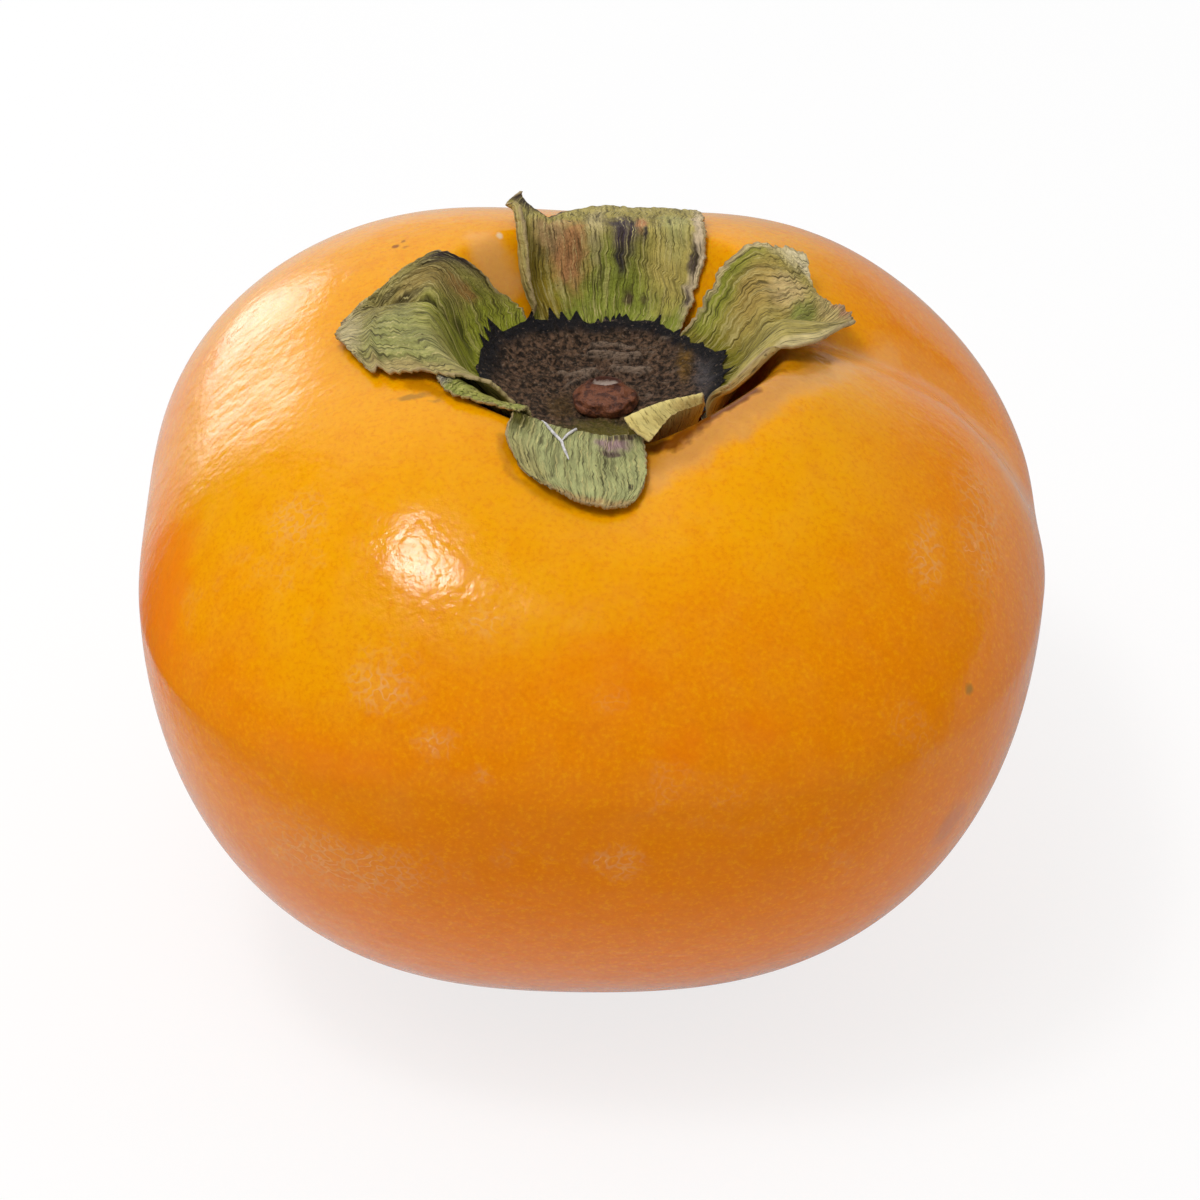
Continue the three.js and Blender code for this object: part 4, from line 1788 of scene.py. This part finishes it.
@dataclass(frozen=True)
class StemFinish:
    """Red-brown broken wood with a grey crown."""

    wood: Colour = (0.23, 0.078, 0.038)
    dark: Colour = (0.085, 0.028, 0.018)
    crown: Colour = (0.46, 0.36, 0.30)
    crown_place: Triple = (0.05, 1.05, 0.0)
    crown_reach: Triple = (1.15, 0.62, 1.0)
    relief: float = 0.4

    def material(self, middle: float) -> bpy.types.Material:
        """Make the stem's material.

        Args:
            middle: x of the stub's middle.

        Returns:
            The material.
        """
        material, wiring, shader = new_material("stem")
        points = wiring.points()
        grain = wiring.noise(points, 1.5, 4.0, 0.65)
        colour = wiring.mix(wiring.grade(grain, 0.56, 0.40), self.wood, self.dark)
        crown = (middle + self.crown_place[0], self.crown_place[1], 0.0)
        away = wiring.vector("SUBTRACT", wiring.flat(points), crown)
        near = wiring.distance(wiring.vector("DIVIDE", away, self.crown_reach))
        near = wiring.plus(near, wiring.centred(grain, 0.5))
        colour = wiring.mix(wiring.grade(near, 1.45, 1.25, (0.0, 0.85)), colour, self.dark)
        colour = wiring.mix(wiring.grade(near, 1.05, 0.90), colour, self.crown)
        colour = wiring.mix(wiring.grade(near, 0.45, 0.25, (0.0, 0.6)), colour, self.wood)
        bump = wiring.bump(grain, self.relief)
        wiring.feed(shader, Base_Color=colour, Roughness=0.42, Normal=bump)
        return material


@dataclass
class Disc:
    """The corky dish in the hollow, with a jagged rim that lies on the roots of the sepals.

    Attributes:
        rim: Azimuth and reach of the rim, without its teeth.
        thickness: Thickness at the middle.
        gap: How far above the sepals the border lies.
        climb: Most that the border may rise to lie on them.
        bare: Azimuth about which the rim has no dark border.
        border: Reach outside which it may lie on the sepals.
        segments: Number of faces round it.
        rings: Number of faces from its top to its bottom.
        teeth: Number of teeth in its rim.
        ridges: Ridges across it.
    """

    rim: tuple[Pair, ...] = (
        (0, 10.4), (22, 10.8), (42, 9.8), (65, 10.3), (90, 9.4), (108, 10.0), (125, 11.0),
        (160, 11.2), (184, 10.4), (205, 9.4), (235, 10.2), (264, 10.4), (290, 9.8), (345, 9.3),
    )
    thickness: float = 0.8
    gap: float = 0.16
    climb: float = 1.6
    bare: float = 268.0
    border: float = 8.8
    segments: int = 440
    rings: int = 120
    teeth: int = 90
    ridges: tuple[Fold, ...] = (
        Fold((6.3, 103), (6.6, 58), 0.34, rise=0.75),
        Fold((7.4, 98), (7.4, 66), 0.34, rise=0.50),
        Fold((5.3, 138), (4.2, 92), 0.34, rise=0.60),
        Fold((4.6, 82), (5.9, 42), 0.34, rise=0.60),
        Fold((3.9, 150), (4.0, 100), 0.28, rise=0.40),
    )
    finish: CorkFinish = CorkFinish()

    def build(self, sepals: list[bpy.types.Object]) -> bpy.types.Object:
        """Make the disc and dress it.

        Args:
            sepals: The sepals that its border lies on.

        Returns:
            The finished piece.
        """
        disc, ball = new_ball(self.segments, self.rings)
        azimuth = np.arctan2(ball[:, 1], ball[:, 0])
        share = (1 - np.abs(np.arcsin(np.clip(ball[:, 2], -1, 1))) / (math.pi / 2)) ** 0.8
        rim = np.interp(np.degrees(azimuth), *np.array(self.rim).T, period=360.0)
        front = smooth(np.cos(azimuth - math.radians(self.bare)), 0.35, 0.75)
        reach = share * (rim + smooth(share, 0.8, 1.0) * self.jags(azimuth) * (1 - 0.8 * front))
        places = reach[:, None] * np.column_stack([np.cos(azimuth), np.sin(azimuth)])
        ridges = sum(ridge.lift(places) for ridge in self.ridges)
        height = DISH.height(reach) + self.relief(places, share) + ridges
        places = places + [SKIN_SHAPE.hollow_offset, 0.0]
        height = self.settled(height, places, reach, surface_of(sepals))
        height = height - np.where(ball[:, 2] > 0, 0.0, self.thickness) * (1 - share**6)
        write_points(disc, np.column_stack([places, height]))
        add_attribute(disc, "ridge", ridges)
        add_attribute(disc, "rim", share - 0.3 * front)
        finish_piece(disc, "calyx_dish", self.finish.material())
        stand_for(disc, "calyx_disc")
        return disc

    def relief(self, places: np.ndarray, share: np.ndarray) -> np.ndarray:
        """Wrinkles and lumps, which die out towards the rim.

        Args:
            places: x and y from the disc's axis.
            share: Share of the way to the rim.

        Returns:
            The height that they add.
        """
        level = np.zeros(len(places))
        long = ripple(np.column_stack([places * [0.45, 1.4], level]), 1.2, 3.0)
        lumps = ripple(np.column_stack([places, level]), 1.0, 8.0)
        fine = ripple(np.column_stack([places, level]), 0.45, 5.0)
        return (0.30 * long + 0.28 * lumps) * (1 - smooth(share, 0.86, 1.0)) + 0.14 * fine

    def settled(
        self, height: np.ndarray, places: np.ndarray, reach: np.ndarray, sepals: BVHTree
    ) -> np.ndarray:
        """Raise the border where it would cut into the sepals.

        Args:
            height: The disc's height at each place.
            places: x and y of each place.
            reach: Distance from the disc's axis.
            sepals: The sepals' surface.

        Returns:
            The new heights.
        """
        result = height.copy()
        for index in np.flatnonzero(reach > self.border):
            x, y = places[index]
            below = drop_on(sepals, x, y, 0.0) + self.gap
            if height[index] < below < height[index] + self.climb:
                result[index] = below
        return result

    def jags(self, azimuth: np.ndarray) -> np.ndarray:
        """How far the rim's teeth reach out at each azimuth.

        Args:
            azimuth: Azimuths in radians.

        Returns:
            The reach of the teeth at each.
        """
        rng = np.random.default_rng(11)
        reach = np.zeros(len(azimuth))
        for _ in range(self.teeth):
            centre, width = rng.uniform(-math.pi, math.pi), rng.uniform(0.015, 0.07)
            height = rng.uniform(0.25, 1.1) ** 2
            away = np.abs(np.arctan2(np.sin(azimuth - centre), np.cos(azimuth - centre)))
            reach = np.maximum(reach, height * np.maximum(1 - away / width, 0.0))
        return reach


@dataclass
class StemStub:
    """The broken end of the stem: a low, oval, crumpled knob with a dished crown.

    Attributes:
        radius: Its radius before it is lumpy.
        shift: How far its middle is from the hollow's axis, towards +X.
        foot_height: Height of its foot.
        height: How far it stands above its foot.
        lump_height: Height of the lumps.
        segments: Number of faces round it.
        rings: Number of faces from its top to its bottom.
        finish: Its look.
    """

    radius: float = 2.62
    shift: float = 0.25
    foot_height: float = 50.9
    height: float = 2.1
    lump_height: float = 0.16
    segments: int = 160
    rings: int = 80
    finish: StemFinish = StemFinish()

    def build(self) -> None:
        """Make the stub and dress it."""
        middle = SKIN_SHAPE.hollow_offset + self.shift
        stub, ball = new_ball(self.segments, self.rings)
        azimuth = np.arctan2(ball[:, 1], ball[:, 0])
        side = np.hypot(ball[:, 0], ball[:, 1])
        lumps = ripple(ball * 3, 1.3, 5.0)
        reach = self.radius * side**0.75 * (1 + 0.07 * np.cos(2 * azimuth) + 0.09 * lumps)
        across, deep = reach * np.cos(azimuth), reach * np.sin(azimuth)
        rise = 0.5 + 0.5 * np.sign(ball[:, 2]) * np.abs(ball[:, 2]) ** 0.75
        crown, size = self.finish.crown_place, self.finish.crown_reach
        away = np.hypot((across - crown[0]) / size[0], (deep - crown[1]) / size[1])
        rim = 0.30 * np.exp(-(((away - 1.25) / 0.22) ** 2)) - 0.35 * (1 - smooth(away, 0.7, 1.2))
        height = self.foot_height + self.height * rise + self.lump_height * lumps
        height = height + rim * smooth(rise, 0.55, 0.75)
        write_points(stub, np.column_stack([middle + across, deep, height]))
        finish_piece(stub, "stem_knob", self.finish.material(middle))
        stand_for(stub, "stem_stub")


@dataclass
class Fibre:
    """A torn white fibre that lies forked on the front sepal's root.

    Attributes:
        branches: Lines that it follows, from the hollow's axis.
        radius: Its radius.
        floor: Height at which it lies where nothing is under it.
        tint: Its colour.
    """

    branches: tuple[tuple[Pair, ...], ...] = (
        ((-2.2, -15.0), (-2.6, -15.6), (-3.1, -16.4), (-3.4, -17.2)),
        ((-3.4, -17.2), (-3.3, -17.8), (-3.0, -18.4), (-2.8, -19.0)),
        ((-3.4, -17.2), (-4.2, -16.2), (-4.8, -15.2), (-5.1, -14.2)),
    )
    radius: float = 0.13
    floor: float = 53.0
    tint: Colour = (0.80, 0.76, 0.76)

    def build(self, pieces: list[bpy.types.Object]) -> None:
        """Lay the fibre on the pieces under it.

        Args:
            pieces: The pieces that it may lie on.
        """
        surface = surface_of(pieces)
        curve = bpy.data.curves.new("fibre", "CURVE")
        curve.dimensions = "3D"
        curve.bevel_depth = self.radius * MM
        curve.bevel_resolution = 3
        curve.resolution_u = 8
        for branch in self.branches:
            spline = curve.splines.new("NURBS")
            spline.points.add(len(branch) - 1)
            spline.use_endpoint_u = True
            spline.order_u = 3
            for index, (across, deep) in enumerate(branch):
                x = across + SKIN_SHAPE.hollow_offset
                z = drop_on(surface, x, deep, self.floor) + self.radius
                spline.points[index].co = (x * MM, deep * MM, z * MM, 1.0)
                spline.points[index].radius = 1.0 if index < len(branch) - 1 else 0.3
        thread = bpy.data.objects.new("fibre", curve)
        bpy.context.collection.objects.link(thread)
        deselect_all()
        thread.select_set(True)
        bpy.context.view_layer.objects.active = thread
        bpy.ops.object.convert(target="MESH")
        material, wiring, shader = new_material("fibre")
        points = wiring.points()
        grain = wiring.grade(wiring.noise(points, 3.0), 0.35, 0.65)
        colour = wiring.mix(grain, dimmed(self.tint, 0.6), self.tint)
        wiring.feed(shader, Base_Color=colour, Roughness=0.5)
        finish_piece(thread, "torn_fibre", material)
        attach(thread, BODY)
        LOG.info("%s: %d faces, stands for no solid", thread.name, len(thread.data.polygons))


# ---- Studio ------------------------------------------------------------------------------------


@dataclass(frozen=True)
class Softbox:
    """A soft area light that faces the fruit.

    Attributes:
        name: Its name.
        bearing: Azimuth of the light seen from the fruit, in degrees.
        climb: Its elevation, in degrees.
        distance: How far away it is, in metres.
        size: Its width and height, in metres.
        glow: Its brightness, as radiance.
        mirrored: Whether glossy surfaces reflect it.
        fade: Shares of its width and height over which it fades at each end.
    """

    name: str
    bearing: float
    climb: float
    distance: float
    size: Pair
    glow: float
    mirrored: bool = True
    fade: Pair | None = None

    def build(self, middle: Vector) -> None:
        """Hang the light so that it faces the middle of the fruit.

        Args:
            middle: The middle of the fruit, in metres.
        """
        bearing, climb = math.radians(self.bearing), math.radians(self.climb)
        flat = math.cos(climb)
        way = Vector((flat * math.cos(bearing), flat * math.sin(bearing), math.sin(climb)))
        light = bpy.data.lights.new(self.name, "AREA")
        light.shape = "RECTANGLE"
        light.size, light.size_y = self.size
        light.energy = self.glow * math.pi * self.size[0] * self.size[1]
        lamp = bpy.data.objects.new(self.name, light)
        bpy.context.scene.collection.objects.link(lamp)
        lamp.location = middle + way * self.distance
        lamp.rotation_euler = (-way).to_track_quat("-Z", "Y").to_euler()
        lamp.visible_camera = False
        lamp.visible_glossy = self.mirrored
        if self.fade:
            self.soften(light)

    def soften(self, light: bpy.types.Light) -> None:
        """Let the light fade towards its edges.

        Args:
            light: The light's data.
        """
        light.use_nodes = True
        wiring = Wiring(light.node_tree)
        place = wiring.split(wiring.add("NewGeometry").outputs["Parametric"])
        level = 1.0
        for part, fade in zip(("X", "Y"), self.fade):
            level = wiring.times(level, wiring.grade(wiring.end_gap(place[part]), 0.0, fade))
        glow = next(node for node in light.node_tree.nodes if node.type == "EMISSION")
        wiring.put(glow.inputs["Strength"], level)


@dataclass
class Studio:
    """The camera, the pale floor and plain soft light.

    Attributes:
        target: The point that the camera looks at, in millimetres.
        climb: The camera's elevation, in degrees.
        distance: Its distance, in millimetres.
        lens: Its focal length.
        sensor: Width of its sensor.
        floor_size: Width of the floor, in metres.
        floor: The floor's own colour.
        bounce: The colour that it throws on the fruit.
        seen_glow: The glow that keeps its shadow faint.
        image_glow: Its glow in the fruit's gloss, on the left and on the right.
        near: Distances from the fruit between which that glow fades in, in metres.
        right: Places towards +X between which it fades in, in metres.
        behind: Places towards +Y between which it fades in, in metres.
        softboxes: The lights.
    """

    target: tuple[float, float, float] = (1.2, 0.0, 30.5)
    climb: float = 36.0
    distance: float = 577.5
    lens: float = 196.1
    sensor: float = 36.0
    floor_size: float = 12.0
    floor: Colour = (0.22, 0.22, 0.22)
    bounce: Colour = (0.95, 0.96, 0.82)
    seen_glow: float = 0.78
    image_glow: Pair = (0.66, 0.42)
    near: Pair = (0.090, 0.058)
    right: Pair = (-0.066, -0.010)
    behind: Pair = (-0.062, -0.028)
    softboxes: tuple[Softbox, ...] = (
        Softbox("key", -146.0, 69.0, 0.9, (0.21, 0.18), 19.0, fade=(0.14, 0.14)),
        Softbox("fill", -134.0, 68.0, 0.9, (0.50, 0.50), 3.1, mirrored=False),
        Softbox("side_panel", 123.0, 4.0, 0.35, (0.12, 0.19), 3.4, fade=(0.45, 0.2)),
    )

    def build(self) -> None:
        """Set up the studio."""
        self.place_camera()
        self.lay_floor()
        for softbox in self.softboxes:
            softbox.build(Vector(self.target) * MM)
        self.fill_surroundings()

    def place_camera(self) -> None:
        """Make the camera, above and in front of the fruit."""
        data = bpy.data.cameras.new("camera")
        data.lens = self.lens
        data.sensor_width = self.sensor
        data.clip_start = 0.01
        camera = bpy.data.objects.new("camera", data)
        bpy.context.scene.collection.objects.link(camera)
        climb = math.radians(self.climb)
        back = Vector((0.0, -math.cos(climb), math.sin(climb)))
        camera.location = (Vector(self.target) + back * self.distance) * MM
        camera.rotation_euler = (-back).to_track_quat("-Z", "Y").to_euler()
        bpy.context.scene.camera = camera

    def lay_floor(self) -> None:
        """Make the floor, whose glow lightens the shadow on it and the far side's reflections."""
        deselect_all()
        bpy.ops.mesh.primitive_plane_add(size=self.floor_size, location=(0, 0, 0))
        floor = bpy.context.object
        floor.name = "floor"
        material, wiring, shader = new_material("pale_floor")
        path = wiring.add("LightPath")
        seen, mirrored = path.outputs["Is Camera Ray"], path.outputs["Is Glossy Ray"]
        places = wiring.add("TexCoord").outputs["Object"]
        part = wiring.split(places)
        aside = wiring.plus(part["X"], wiring.times(part["Y"], 0.72))
        away = wiring.distance(wiring.flat(places))
        near = wiring.grade(away, *self.near)
        lit = wiring.larger(near, wiring.grade(aside, *self.right))
        image = wiring.times(wiring.grade(part["Y"], *self.behind), lit)
        image = wiring.times(image, wiring.grade(part["X"], -0.06, 0.04, self.image_glow))
        glow = wiring.plus(wiring.times(seen, self.seen_glow), wiring.times(mirrored, image))
        shade = wiring.mix(seen, self.bounce, self.floor)
        shade = wiring.mix(mirrored, shade, (0.04, 0.04, 0.04))
        wiring.feed(shader, Base_Color=shade, Emission_Strength=glow, Roughness=0.9)
        wiring.feed(shader, Specular_IOR_Level=0.0, Emission_Color=(1.0, 1.0, 1.0))
        floor.data.materials.append(material)

    def fill_surroundings(self) -> None:
        """Light the world softly, brighter behind the fruit than in front of it."""
        world = bpy.data.worlds.new("surroundings")
        bpy.context.scene.world = world
        world.use_nodes = True
        world.node_tree.nodes.clear()
        wiring = Wiring(world.node_tree)
        way = wiring.split(wiring.add("TexCoord").outputs["Generated"])
        path = wiring.add("LightPath")
        soft = wiring.grade(way["Y"], -0.3, 0.6, (0.40, 0.80))
        left = wiring.grade(way["X"], -0.66, -0.56)
        right = wiring.grade(way["X"], 0.1, 0.7, (1.0, 0.15))
        mirrored = wiring.grade(way["Y"], 0.0, 0.6, (0.02, 0.55))
        mirrored = wiring.times(mirrored, wiring.times(left, right))
        level = wiring.mix(path.outputs["Is Glossy Ray"], soft, mirrored)
        level = wiring.mix(path.outputs["Is Camera Ray"], level, (1.0, 1.0, 1.0))
        background = wiring.add("Background")
        wiring.feed(background, Color=level, Strength=1.0)
        output = wiring.add("OutputWorld")
        wiring.put(output.inputs["Surface"], background.outputs[0])


# ---- Assembly ----------------------------------------------------------------------------------


def main() -> None:
    """Build the studio, the fruit and its calyx, and note the sizes."""
    logging.basicConfig(level=logging.INFO, format="%(name)s: %(message)s")
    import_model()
    bpy.context.scene.view_settings.view_transform = "Standard"
    Studio().build()
    Fruit().build()
    blades = [sepal.build() for sepal in SEPALS]
    disc = Disc().build(blades)
    StemStub().build()
    Fibre().build([*blades, disc])


if __name__ == "__main__":
    main()
